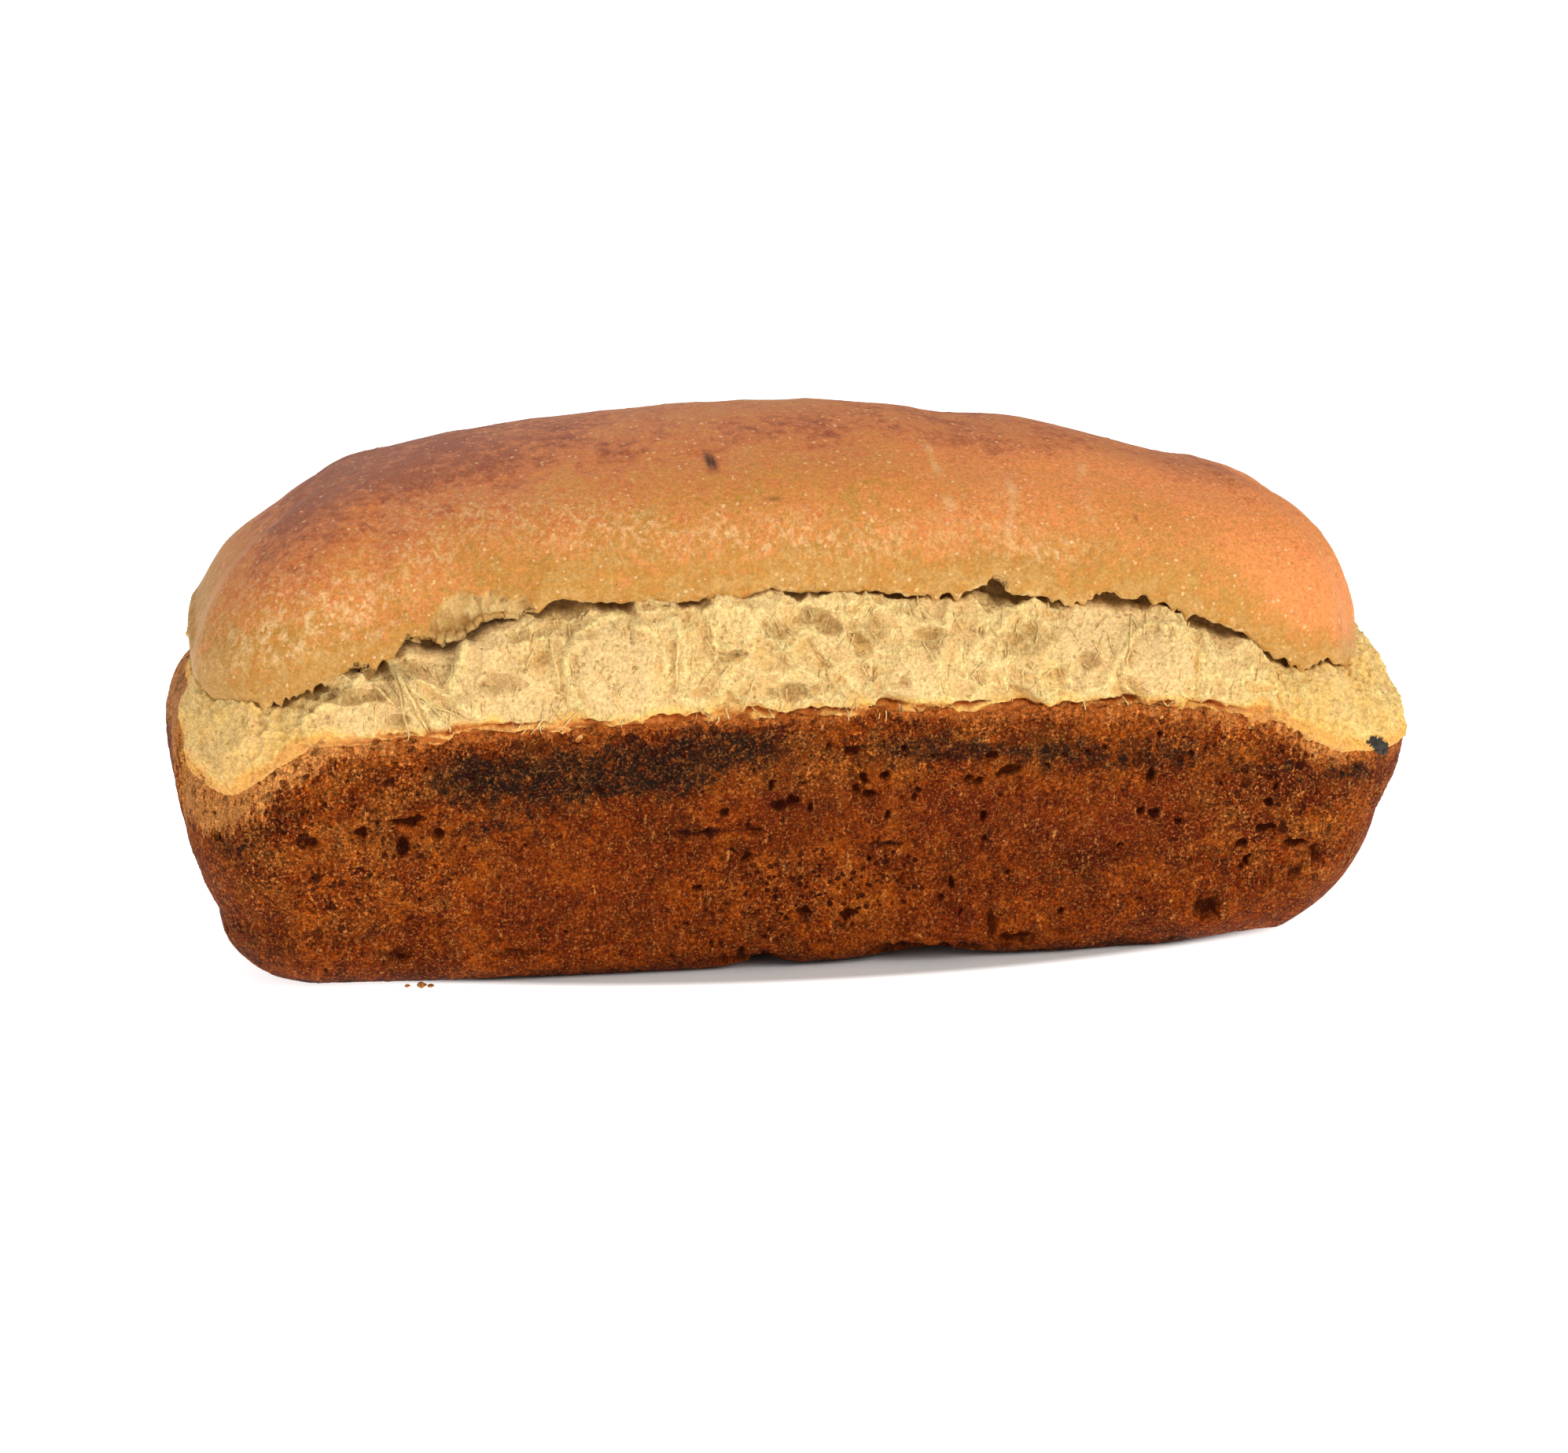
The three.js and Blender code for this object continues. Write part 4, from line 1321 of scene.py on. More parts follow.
        lap = self.flap.strength * smooth((lap - self.flap_edge[0]) / self.flap_edge[1])
        move = (bubbles + grain + lap - gash - dug * (1 - upper) - cut - dent) * on_wall
        made = pushed(points, move)
        made[..., 2] = np.maximum(made[..., 2], 0)
        made[0, :, 2] = 0
        # charred patches, and along the foot a charred edge with painted shade under it
        low = smooth(1 - points[..., 2] / self.foot_char_and_shade_height)
        char_and_shade = total(self.burnt, points) + self.foot_char_and_shade * low * self.foot_char_and_shade_places.share(points)
        band = hill(below, *self.hidden_band) * self.hidden_band_places.share(points)
        # share of painted shade in the dug pits, the scratches and the gashes
        pit_shadow = np.clip(sum(share * deep for share, deep in zip(self.pit_shade, (dug, cut, gash))), 0, 1) * on_wall
        toasted = plan.at["toasted"]
        down = below / (toasted * (1 + self.toast_waver.at(points)))
        most_blond = np.clip((toasted - self.blond_from[0]) / self.blond_from[1], 0.0, 1)
        ruddy = total(self.ruddy_places, points) + hidden * self.hidden_ruddy_places.share(points)
        return Skin("tin_crust", made, {
            "char_and_shade": np.clip(char_and_shade + self.hidden_char * band * hidden + self.cut_char * cut, 0, self.most_char),
            "toast": smooth(self.toast_from - down),
            "blond": self.blond_fall[0] * smooth(self.blond_fall[1] - self.blond_fall[2] * down) * most_blond,
            "ruddy": np.clip(ruddy, 0, 1),
            "coarse": coarse * (1 - pit_shadow),
            "cluster": np.clip(2.4 * total(self.clusters[:2], points), 0, 1),
            "flake": BURNT_FLAKE.over(points),
            "pit_shadow": pit_shadow,
        })


@dataclass(frozen=True)
class Swell:
    """A smooth rounded bulge in the torn crumb, with a raised seam round it."""

    x: float
    z: float
    radius: float
    height: float
    web: float = 0.8

    def distance(self, points: Array) -> Array:
        """Distance from the bulge's middle in its own radii, on the side that faces -Y."""
        away = np.hypot(points[..., 0] - self.x, points[..., 2] - self.z) / self.radius
        return np.where(points[..., 1] < 0, away, 9.0)


@dataclass(frozen=True)
class Strand:
    """A pulled strand of crumb: a ridge from one place on the front to another, widening on its way."""

    start: Pair
    end: Pair
    height: float
    width_start: float
    width_end: float

    def over(self, points: Array) -> Array:
        """Height of the ridge: a hill across its line, faded in at its two ends.

        Args:
            points: The surface.

        Returns:
            The height at each point.
        """
        a, b = np.array(self.start), np.array(self.end)
        run = b - a
        offset = points[..., [0, 2]] - a
        share = offset @ run / (run @ run)
        across = np.abs(offset[..., 0] * run[1] - offset[..., 1] * run[0]) / np.linalg.norm(run)
        width = mix(self.width_start, self.width_end, np.clip(share, 0, 1))
        fade = smooth(share * 8 + 0.5) * smooth((1.05 - share) * 5)
        return self.height * np.exp(-((across / width) ** 2)) * fade * (points[..., 1] < 0)


@dataclass
class TornCrumb:
    """The band of crumb that tore open when the top crust lifted: cells, webs, strands and bulges."""

    form: LoafForm
    finish: TornCrumbFinish = field(default_factory=TornCrumbFinish)
    spacing: Spacing = Spacing(front=0.4, corner=0.58, end=0.9, back=0.95)
    band_rows: int = 71
    hidden: float = 4.0
    dive: Pair = (0.25, 0.75)  # lean behind the tin crust: least and most
    dive_ledge: float = 0.5
    cleft_steps: tuple[Pair, ...] = ((0.25, 0.15), (0.6, 0.35), (1.0, 0.5), (1.05, 1.5))
    cleft_torn: tuple[float, ...] = (0.9, 0.5, 0.2, 0)
    under: Pair = (5, 3)  # how far in and down the hidden row lies
    over: float = 4
    mouth_ripples: Ripples = (Ripple(2.6, 0.5, 205), Ripple(1.1, 0.3, 207))
    mouth_ends: tuple[Pair, Pair] = ((98, 10), (78, 14))
    shut_places: Ripple = Ripple(8, 1.8, 209, 0.1)
    shut_ends: float = 0.6
    shut_rise: float = 0.6
    shut_reach: float = 1.7
    end_places: tuple[Pair, Pair] = ((104, 20), (84, 30))
    bend: Ripple = Ripple(6, 1, 211)
    curl: Ripple = Ripple(2.0, 1, 215)
    # How far the cells, the strands, the holes and the slits each bend and curl.
    sways: tuple[Pair, ...] = ((2.6, 0.7), (0, 0.5), (0.6, 0.9), (0.5, 0.5))
    large: Foam = Foam((25.5, 17, 17), 23, 4)
    large_depth: float = 2.6
    medium: Foam = Foam((8.0, 6.0, 6.0), 221, 7, 3.0)
    medium_depth: float = 1.4
    deeper: float = 1.8
    deeper_chance: float = 0.25
    medium_places: Ripple = Ripple(20, 1.3, 231, 0.6)
    small: Foam = Foam((3.0, 2.6, 2.8), 241, 6, 3.5)
    small_depth: float = 0.9
    small_places: Ripple = Ripple(10, 1.7, 251, 0.3)
    sponge: Foam = Foam(1.5, 245, 3, 3.0)
    sponge_depth: float = 0.24
    pulled: Ripple = Ripple((1.7, 1.7, 10.0), 0.75, 261, -0.45)
    pulled_places: Ripple = Ripple(14, 1.6, 255, -0.1)
    stringy: Sizes = (0.25, 0.6, 0.9)  # everywhere, in places, at the ends
    layered: Ripple = Ripple((11.0, 11.0, 1.3), 1.3, 265, -0.5)
    layer_reach: float = 3.6
    rust_reach: float = 2.8
    warm: Sizes = (0.1, 0.4, 0.5)  # everywhere, at the left end, at the right end
    warm_bands: tuple[Sizes, ...] = ((10, 0.16, 0), (4.4, 0.85, 1.6))  # reach, strength, waver
    toast_share: float = 0.75
    seam_waver: Ripple = Ripple(1.5, 0.06, 269)
    seam: Pair = (1.1, 0.09)
    swell_reach: float = 1.15
    swell_calm: Pair = (0.9, 0.3)
    swells: tuple[Swell, ...] = (
        Swell(-50, 75, 10.5, 2.4), Swell(76, 71, 8.5, 1.8), Swell(-112, 65, 7, 1.0), Swell(18, 71, 6, 0.8, 0.4),
    )
    strands: tuple[Strand, ...] = tuple(Strand(*row) for row in (
        ((-102, 80), (-88, 62), 3.2, 0.9, 2.4), ((-100, 78), (-79, 64.5), 2.2, 0.7, 1.6),
        ((-99, 74), (-93, 61), 1.8, 0.7, 1.6), ((-83, 81), (-88, 70), 2.2, 0.5, 2.6),
        ((-119, 66), (-105, 76), 1.8, 1.2, 0.8), ((-62, 84), (-60, 66), 1, 0.8, 1),
        ((-36, 86), (-34, 64), 1.6, 1, 1.8), ((-24, 80), (-27, 64), 1.2, 1, 1.8), ((-12, 78), (4, 64), 1.2, 0.8, 1.4),
        ((8, 88), (24, 80), 1.4, 0.9, 0.9), ((12, 84), (20, 64), 1, 0.9, 1.6), ((27, 86), (23, 70), 1.6, 0.8, 1.6),
        ((40, 84), (34, 64), 1.3, 1, 1.6), ((62, 66), (69, 80), 1.2, 0.8, 1.4), ((88, 78), (85, 60), 1.4, 1.2, 2.2),
        ((98, 70), (95, 56), 1.2, 0.9, 1.8), ((110, 68), (112, 50), 1.2, 0.9, 2), ((104, 68), (102, 52), 1, 0.9, 1.6),
    ))
    holes: Patches = patches(
        (-4.5, 85.5, 3.75, 1.95, 2.4), (-1, 82.8, 2.75, 1.95, 2.2), (-23, 77, 3.5, 1.56, 2.2),
        (-13, 83, 3.75, 2.86, 1.4), (-10, 68, 6.25, 2.08, 1.8), (59, 73, 2.75, 2.34, 1.8), (-76, 73, 5.75, 2.34, 1.5),
        (-97, 76.5, 6.25, 2.6, 1.8), (-110, 71.5, 8.75, 2.08, 2.2), (-70, 83, 3.75, 1.56, 1.2), (22, 79, 5, 2.6, 1.2),
        (8, 82, 5.62, 3.25, 1.4), (45, 78, 6.25, 3.9, 1.2), (16, 69.5, 1.75, 1.56, 1.2), (-99, 65, 2.5, 1.56, 1.4),
        (-117, 58, 2, 4.42, 1.6),
    )
    slits: Patches = patches(
        (31, 1.6, 5, 0.7, 2), (43, 1, 6, 0.5, 1.5), (66, 1.3, 5.5, 0.9, 2.2, 8), (77, 1, 2.4, 0.5, 1.4),
        (-2, 0.9, 7, 0.5, 1.5), (-16, 1.3, 5, 0.6, 1.5), (-36, 0.8, 9, 0.5, 1.4), (-72, 0.9, 9, 0.5, 1.3),
        (12, 1.4, 5, 0.6, 1.5), (-55, 1.3, 4, 0.5, 1.2), (54, 0.8, 4, 0.5, 1.3), (88, 1.4, 3, 0.6, 1.3),
    )
    openings: Patches = patches(
        (-58, 88, 6, 12), (12, 86, 6, 12), (40, 88, 8, 12, 0.8), (65, 85, 3, 12, 0.8), (92, 80, 7, 12, 0.6),
    )

    def skin(self) -> Skin:
        """Works out the band's points: from behind the tin crust's edge to the cleft under the lip."""
        form, plan = self.form, self.form.plan(self.spacing)
        at = plan.at
        mouth_radius, mouth_height = self.mouth(plan)
        rim_radius = form.wall_radius(at, at["rim_height"]) - at["ledge"]
        share = (np.arange(self.band_rows + 1) / self.band_rows)[:, None]
        low = at["rim_height"] - self.hidden
        height = mix(low, mouth_height, share)
        part = np.clip((height - at["rim_height"]) / (mouth_height - at["rim_height"]), 0, 1)
        swell = at["crumb_bulge"] * np.sin(np.pi * part) ** form.crumb_square
        dive = mix(*self.dive, np.clip(-at["ledge"], 0, self.dive_ledge) / self.dive_ledge)
        radius = mix(rim_radius, mouth_radius, part) + swell - dive * np.maximum(0, at["rim_height"] - height)
        band = plan.place(radius, height, form)
        deep = at["cleft_depth"]
        cleft = np.stack([
            plan.place(mouth_radius - deep * into, mouth_height + at["gap"] * rise, form)
            for into, rise in self.cleft_steps
        ])
        under = plan.place(rim_radius - self.under[0], low - self.under[1], form)[None]
        over = plan.place(mouth_radius - deep * 1.1 - 1, at["lip_height"] + self.over, form)[None]
        points = np.concatenate([under, band, cleft, over])
        torn = np.concatenate([[0], np.ones(self.band_rows + 1), self.cleft_torn, [0]])[:, None]
        share_up = np.concatenate([[[0.0]], share, np.ones((len(self.cleft_steps) + 1, 1))])
        return self.relief(plan, points, torn, share_up)

    def mouth(self, plan: Plan) -> tuple[Array, Array]:
        """The band's upper edge: torn open in places, and shut against the lip in others.

        Args:
            plan: The columns.

        Returns:
            Its radius and its height at each column.
        """
        at = plan.at
        radius, height = self.form.mouth(plan)
        level = np.stack([at["edge_x"], at["edge_y"], height], axis=-1)
        height = height - total(self.openings, level)
        for ripple in self.mouth_ripples:
            height = height + ripple.at(level)
        at_ends = sum(end_shares(at["edge_x"], *self.mouth_ends))
        shut = self.shut_places.share(level * (1, 1, 0), self.shut_ends * at_ends)
        return radius + self.shut_reach * shut, height + shut * (at["gap"] + self.shut_rise)

    def foam(self, points: Array, warped: Array, curl: Array) -> tuple[Array, ...]:
        """Cells of four sizes.

        Args:
            points: The plain band.
            warped: The same, bent and curled.
            curl: The small curls alone.

        Returns:
            Heights of the large, medium, small and smallest cells, and the webs between the middle two.
        """
        large = self.large_depth * (self.large.form(points)[0] - 0.5)
        open_here, fizzy = self.medium_places.share(points), self.small_places.share(points)
        web, floor, luck = self.medium.form(warped)
        medium = -(self.medium_depth + self.deeper * (luck < self.deeper_chance)) * floor * open_here
        thin_web, floor, _ = self.small.form(warped)
        small = -self.small_depth * floor * fizzy
        sponge = -self.sponge_depth * self.sponge.form(points + 0.4 * curl)[1]
        return large, medium, small, sponge, web * open_here + 0.5 * thin_web * fizzy

    def bulges(self, points: Array) -> tuple[Array, Array, Array]:
        """The swells: each a half ball's profile with a raised seam round it, on calmer crumb.

        Args:
            points: The plain band.

        Returns:
            Their height, their seams, and how lively the crumb is, from 0.1 on a swell to 1 away from it.
        """
        calm = np.ones(points.shape[:-1])
        height, seams = np.zeros_like(calm), np.zeros_like(calm)
        waver = self.seam_waver.at(points)
        for place in self.swells:
            away = place.distance(points)
            seam = hill(away + waver, *self.seam)
            calm *= 1 - self.swell_calm[0] * smooth((1.0 - away) / self.swell_calm[1])
            height += place.height * np.sqrt(np.clip(1 - (away / self.swell_reach) ** 2, 0, 1)) + place.web * seam
            seams += 0.9 * seam
        return height, seams, calm

    def relief(self, plan: Plan, points: Array, torn: Array, share_up: Array) -> Skin:
        """Tears the band: cells with thin webs between them, large to small, then bulges, strands and holes.

        Args:
            plan: The columns.
            points: The plain band.
            torn: How torn each row is.
            share_up: Share of the way up the band.

        Returns:
            The finished skin.
        """
        bend, curl = self.bend.sway(points), self.curl.sway(points)
        warped, by_strand, by_hole, by_rim = (
            points + share * bend + curled * curl for share, curled in self.sways
        )
        large, medium, small, sponge, web = self.foam(points, warped, curl)
        bulge, seams, calm = self.bulges(points)
        left, right = end_shares(points[..., 0], *self.end_places)
        at_ends = np.maximum(right, left)
        height_over = points[..., 2] - plan.at["rim_height"]
        flaky = smooth(1 - height_over / self.layer_reach) * (1 - right) * (1 - left)
        layered = self.layered.ridges(points + 0.8 * curl)
        stringy = self.stringy[0] + self.stringy[1] * self.pulled_places.share(points) + self.stringy[2] * at_ends
        fibre = self.pulled.strength * (self.pulled.ridges(warped) + self.pulled.bias) * stringy * (1 - 0.6 * flaky)
        fibre = fibre + self.layered.strength * (layered + self.layered.bias) * flaky
        ridge = np.max([strand.over(by_strand) for strand in self.strands], axis=0)
        hole = deepest(self.holes, by_hole)
        by_rim[..., 2] -= plan.at["rim_height"]
        slit = deepest(self.slits, by_rim)
        low_fade = smooth((share_up - 0.05) * 8)
        settled = smooth((height_over + mix(0.7, 1.4, at_ends)) / mix(1.1, 3.2, at_ends))
        cells = (medium * mix(0.5, 1.0, low_fade) + small) * calm * (1 - 0.8 * right)
        cells = large * 0.8 * calm * (1 - 0.6 * at_ends) + cells
        fine = sponge * mix(0.35, 1, calm)
        move = (cells + fine + fibre * mix(0.2, 1, calm) + bulge + ridge - hole) * torn * settled - slit
        warm = self.warm[0] + self.warm[1] * left + self.warm[2] * right
        for reach, strength, waver in self.warm_bands:
            warm = warm + strength * smooth(1 - (height_over + waver * bend[..., 0]) / reach)
        # rusty orange near the tin crust's edge: partly toasted colour, partly painted shade between the layers; more
        # painted shade in the slits
        rust_and_shade = 0.85 * smooth(1 - height_over / self.rust_reach) * (1 - at_ends) * smooth((0.66 - layered) * 3)
        made = pushed(points, move)
        return Skin("torn_crumb", made, {
            # painted shade in the cells and the holes, and over the whole left end, where less light falls
            "hollow_shade": np.clip(-(medium + small * 1.2) * calm / 2.2 + hole / 4 + 0.5 * left, 0, 1),
            "web": np.clip((web + seams) * calm + ridge * 0.4, 0, 1),
            "warm": np.clip(warm, 0, 1.3),
            "toast": np.clip(0.9 - height_over / (self.toast_share * plan.at["toasted"]), 0, 0.9),
            "rust_and_shade": np.clip(rust_and_shade + 0.6 * slit, 0, 0.95),
            # painted shade in the cleft under the lip and in the holes
            "deep": np.clip(hole / 5, 0, 0.35) + 0.9 * (1 - torn),
            "flake": BURNT_FLAKE.over(points),
        })


@dataclass
class CrumbFibres:
    """Thin torn fibres that stand on the crumb: tapered threads, each bowed out from the surface."""

    crumb: TornCrumb
    count: int = 420
    rings: int = 7
    sides: int = 5
    along_x: Pair = (-128, 124)
    up_z: Pair = (63, 90)
    length: Pair = (2.0, 6.5)
    slant: Pair = (-0.9, 0.9)
    bow: Pair = (0.25, 0.8)
    thickness: float = 0.2
    thickness_range: Pair = (0.6, 1.3)
    taper: float = 0.75
    sunk: float = 0.15
    wave: float = 0.5
    wave_size: float = 3
    wave_seeds: tuple[int, int] = (611, 613)
    largest_miss: float = 0.6
    toast_from: Pair = (62, 6)
    seed: int = 601
    pulled: tuple[tuple[Pair, Pair, float, float], ...] = (
        ((-102.6, 80.6), (-90, 62.5), 2.2, 0.8), ((-101.6, 79.6), (-84, 63.5), 2, 0.65),
        ((-101, 78.6), (-79, 64), 1.6, 0.5), ((-101.4, 78), (-94, 61.5), 1.6, 0.5),
        ((-97.5, 74.5), (-86, 63), 1.2, 0.35), ((-96, 71), (-81.5, 64), 1, 0.3), ((-99.5, 77), (-92, 62), 1.8, 0.5),
        ((-99.5, 76), (-96.5, 61), 1.2, 0.3), ((-104, 73), (-99, 68), 1.2, 0.4),
        ((-84.5, 82.5), (-86, 76), 1.4, 0.45), ((-84, 81.5), (-89, 72), 1.2, 0.4),
        ((-64.5, 82), (-62.5, 69), 1.4, 0.35), ((-119, 65), (-106, 76.5), 1.1, 0.35),
        ((-36, 84), (-36.5, 68), 1, 0.35), ((70, 82), (67, 68), 1, 0.3), ((-78.5, 86.5), (-77.5, 82), 1.2, 0.4),
        ((-68, 86), (-71, 84.4), 1.4, 0.5),
    )

    def luck(self, n: Array, which: int) -> Array:
        """A number from 0 to 1 for each fibre."""
        return Lattice.value(n, n * 0, n * 0, self.seed + which)

    def paths(self) -> tuple[Array, Array, Array]:
        """Start and end of each fibre on the front, by x and z, then its bow and its thickness."""
        n = np.arange(self.count)
        x = mix(*self.along_x, self.luck(n, 0))
        z = mix(*self.up_z, self.luck(n, 1))
        length = mix(*self.length, self.luck(n, 2) ** 2)
        slant = mix(*self.slant, self.luck(n, 3))
        start = np.stack([x, z], axis=-1)
        end = start + np.stack([np.sin(slant) * length, -np.cos(slant) * length], axis=-1)
        bow = mix(*self.bow, self.luck(n, 4))
        thick = self.thickness * mix(*self.thickness_range, self.luck(n, 5))
        named = [np.array(column) for column in zip(*self.pulled)]
        ends = np.concatenate([np.stack([start, end], axis=1), np.stack([named[0], named[1]], axis=1)])
        return ends, np.concatenate([bow, named[2]]), np.concatenate([thick, named[3]])

    def build(self, skin: Skin, shift: Array) -> bpy.types.Object:
        """Makes the fibres as closed tapered tubes whose middles bow out from the crumb they stand on.

        Args:
            skin: The torn crumb.
            shift: How far to move the whole, in millimetres.

        Returns:
            The new object.
        """
        ends, bow, thick = self.paths()
        t = np.linspace(0, 1, self.rings)
        flat = ends[:, :1] + (ends[:, 1:] - ends[:, :1]) * t[None, :, None]
        own = np.stack([flat[..., 0], flat[..., 1], bow[:, None] * 9 + 0 * t], axis=-1)
        wave = np.stack([Lattice.noise(own, self.wave_size, seed) for seed in self.wave_seeds], axis=-1)
        flat = flat + self.wave * wave * np.sin(np.pi * t)[None, :, None]
        front = skin.points[1:self.crumb.band_rows + 2]
        on_front = front[0, :, 1] < -20
        surface = front[:, on_front]
        column = np.argmin(np.abs(surface[0, :, 0][None, None] - flat[..., 0, None]), axis=-1)
        row = np.argmin(np.abs(surface[:, column, 2] - flat[..., 1]), axis=0)
        y = surface[row, column, 1]
        inside = (np.abs(surface[row, column, 2] - flat[..., 1]) < self.largest_miss).all(axis=1)
        rise = bow[:, None] * np.sin(np.pi * t)[None] ** 0.7 - self.sunk
        centre = np.stack([flat[..., 0], y - rise, flat[..., 1]], axis=-1)[inside]
        radius = (thick[inside, None] * (1 - self.taper * t[None] ** 2))[..., None, None]
        turn = np.linspace(0, 2 * np.pi, self.sides, endpoint=False)
        along = np.gradient(centre, axis=1)
        along /= np.linalg.norm(along, axis=-1, keepdims=True)
        side = np.cross(along, (0.0, -1.0, 0.0))
        side /= np.maximum(np.linalg.norm(side, axis=-1, keepdims=True), 1e-9)
        out = np.cross(side, along)
        ring = np.cos(turn)[:, None] * side[..., None, :] + np.sin(turn)[:, None] * out[..., None, :]
        tube = centre[..., None, :] + ring * radius
        count, rings, sides = len(tube), self.rings, self.sides
        index = np.arange(count * rings * sides).reshape(count, rings, sides)
        quads = np.stack(squares(index), axis=-1).reshape(-1, 4).tolist()
        caps = index[:, 0, ::-1].tolist() + index[:, -1].tolist()
        mesh = bpy.data.meshes.new("crumb_fibres")
        mesh.from_pydata(((tube.reshape(-1, 3) + shift) * MM).tolist(), [], quads + caps)
        mesh.shade_smooth()
        low = smooth(1 - (tube[..., 2].reshape(-1) - self.toast_from[0]) / self.toast_from[1])
        _, right = end_shares(tube[..., 0].reshape(-1), *self.crumb.end_places)
        none = 0 * low
        marked(mesh, {"hollow_shade": none, "web": 0.7 + none, "warm": 0.2 + 0.6 * right, "toast": 0.7 * low,
                      "rust_and_shade": none, "deep": none, "flake": none})
        return linked("crumb_fibres", mesh)


@dataclass
class TopCrust:
    """The smooth crust that lifted off the loaf: its torn lip, the crumb on its underside, and the dome."""

    form: LoafForm
    finish: TopCrustFinish = field(default_factory=TopCrustFinish)
    spacing: Spacing = Spacing(front=0.46, corner=0.66, end=0.72, back=0.46)
    under_rows: int = 7
    lip_rows: int = 5
    dome_rows: int = 56
    row_crowd: float = 1.5
    dents: Ripple = Ripple(46, 1.6, 11)
    wrinkles: Ripple = Ripple((17, 51, 17), 0.9, 5)
    wrinkle_from: float = -6
    wrinkle_fade: float = 20
    low_relief: Ripples = (Ripple(13, 0.25, 421), Ripple(3.5, 0.07, 425))
    teeth: Ripples = (
        Ripple(4.0, 0.5, 401), Ripple(1.7, 0.6, 402), Ripple(0.95, 0.7, 403), Ripple(0.6, 0.4, 404),
    )
    tooth_places: Ripple = Ripple(9, 1.2, 411, 0.4)
    hidden_from: Pair = (8, 20)
    hidden_frost: float = 0.5
    hidden_frost_at: Pair = (0.3, 0.14)
    blister_spacing: float = 2.6
    blister_seed: int = 431
    blister_share: float = 0.32
    blister_height: float = 0.2
    blister_chance: float = 0.35
    crooks: Ripples = (Ripple(2.4, 0.9, 435), Ripple(0.9, 0.35, 438))
    bare_from: Pair = (0.34, 0.1)
    bare_top: float = 100
    bare_depth: float = 2.2
    webs: Foam = Foam((3.4, 3.0, 4.2), 447, 4.5)
    web_height: float = 1.3
    crumb: Ripple = Ripple(2.2, 0.45, 441)
    swing: Ripple = Ripple(4.5, 0.9, 471)
    streak_places: Ripple = Ripple(3.2, 1.3, 475, 1.0)
    streak_breaks: Ripple = Ripple(3, 1, 465, 0.6)
    streak_waver: Ripple = Ripple(6, 0.8, 461)
    streak_height: float = 0.25
    streak_strength: float = 0.6
    streak_fade: float = 4
    end_places: tuple[Pair, Pair] = ((92, 40), (84, 36))
    bake: Sizes = (0.05, 0.3, 0.4)  # at the lip, over the pale edge, on top
    bake_top: Pair = (0.22, 0.4)
    bake_ends: Pair = (0.24, 0.14)
    bake_ends_from: float = 0.4
    bake_patch: Sizes = (-96, 30, 0.28)  # x, reach and strength
    uneven: Ripples = (Ripple(34, 0.16, 451), Ripple(12, 0.1, 455))
    pale: Sizes = (18, 7, -9)  # height of the pale edge, and its change at the left and the right end
    pale_edge: Ripples = (Ripple(15, 4.5, 457), Ripple(5, 1.5, 459))
    notches: Patches = patches(
        (38.6, 91, 2.4, 12, 2), (26, 90, 2.5, 12, 0.6), (53, 86, 4, 12, -0.8), (64.5, 86, 2.6, 12, 1.6),
        (73, 86, 1.3, 12, 3), (77.6, 85, 1.6, 12, 1.8), (86, 81, 4, 12), (-97, 81, 3, 12, 1.2),
        (-108, 75, 2.4, 12), (104, 69, 1.2, 12, 1.4), (119, 69, 1.3, 12, 1.4), (-61, 90, 4, 12, 1.2),
        (-70, 87, 2, 12, -1.2), (92, 79, 2, 12, 0.8),
    )
    bare: Patches = patches(
        (-93.5, 80.6, 5, 2.6), (-86.5, 83.5, 4.4, 5), (-83, 87.3, 5.6, 5.6), (-77, 87.3, 5.6, 5.4),
        (-71.5, 87.6, 4.2, 3.8), (-82, 83, 8, 4), (38.6, 90.6, 2.8, 1.6), (-107, 75.6, 3.4, 1.5),
    )
    caves: Patches = patches(
        (-87, 83.4, 4, 1.8, 2.4), (-84, 86.4, 2.2, 1.6, 1.8), (-79, 84.6, 2.2, 1.2, 1.6),
        (-92.5, 81.2, 2.6, 1.2, 1.8), (-74.5, 86.5, 1.6, 1, 1.2),
    )
    streaks: tuple[tuple[Pair, Pair, float], ...] = (
        ((26, 120), (30, 105), 1.4), ((45.5, 113), (41, 99), 1.5), ((64, 114), (58.5, 99), 1.4),
    )
    frost_places: Patches = patches(
        (-78, 108, 20, 4, 0.8), (-52, 106, 16, 5, 0.8), (-20, 103, 22, 5, 0.8), (12, 101, 20, 5, 0.7),
        (-112, 93, 11, 5), (-92, 101, 10, 4), (40, 103, 10, 8, 0.5), (53, 97, 10, 3, 0.9),
        (-126, 80, 12, 11, 1.2), (-106, 86, 15, 8),
    )
    specks: Patches = patches(
        (-25, 117, 0.7, 1.5), (-23.8, 116.8, 0.6, 1.4), (-12, 110, 2, 0.4, 0.6), (-42, 96, 0.9, 0.5),
        (-40, 94.5, 0.5, 0.5, 0.8), (25, 123, 0.8, 0.4, 0.8), (122, 74, 0.8, 3, 0.7), (72, 103, 0.5, 0.5, 0.7),
        (-114, 73.5, 0.5, 1.3, 0.8),
    )

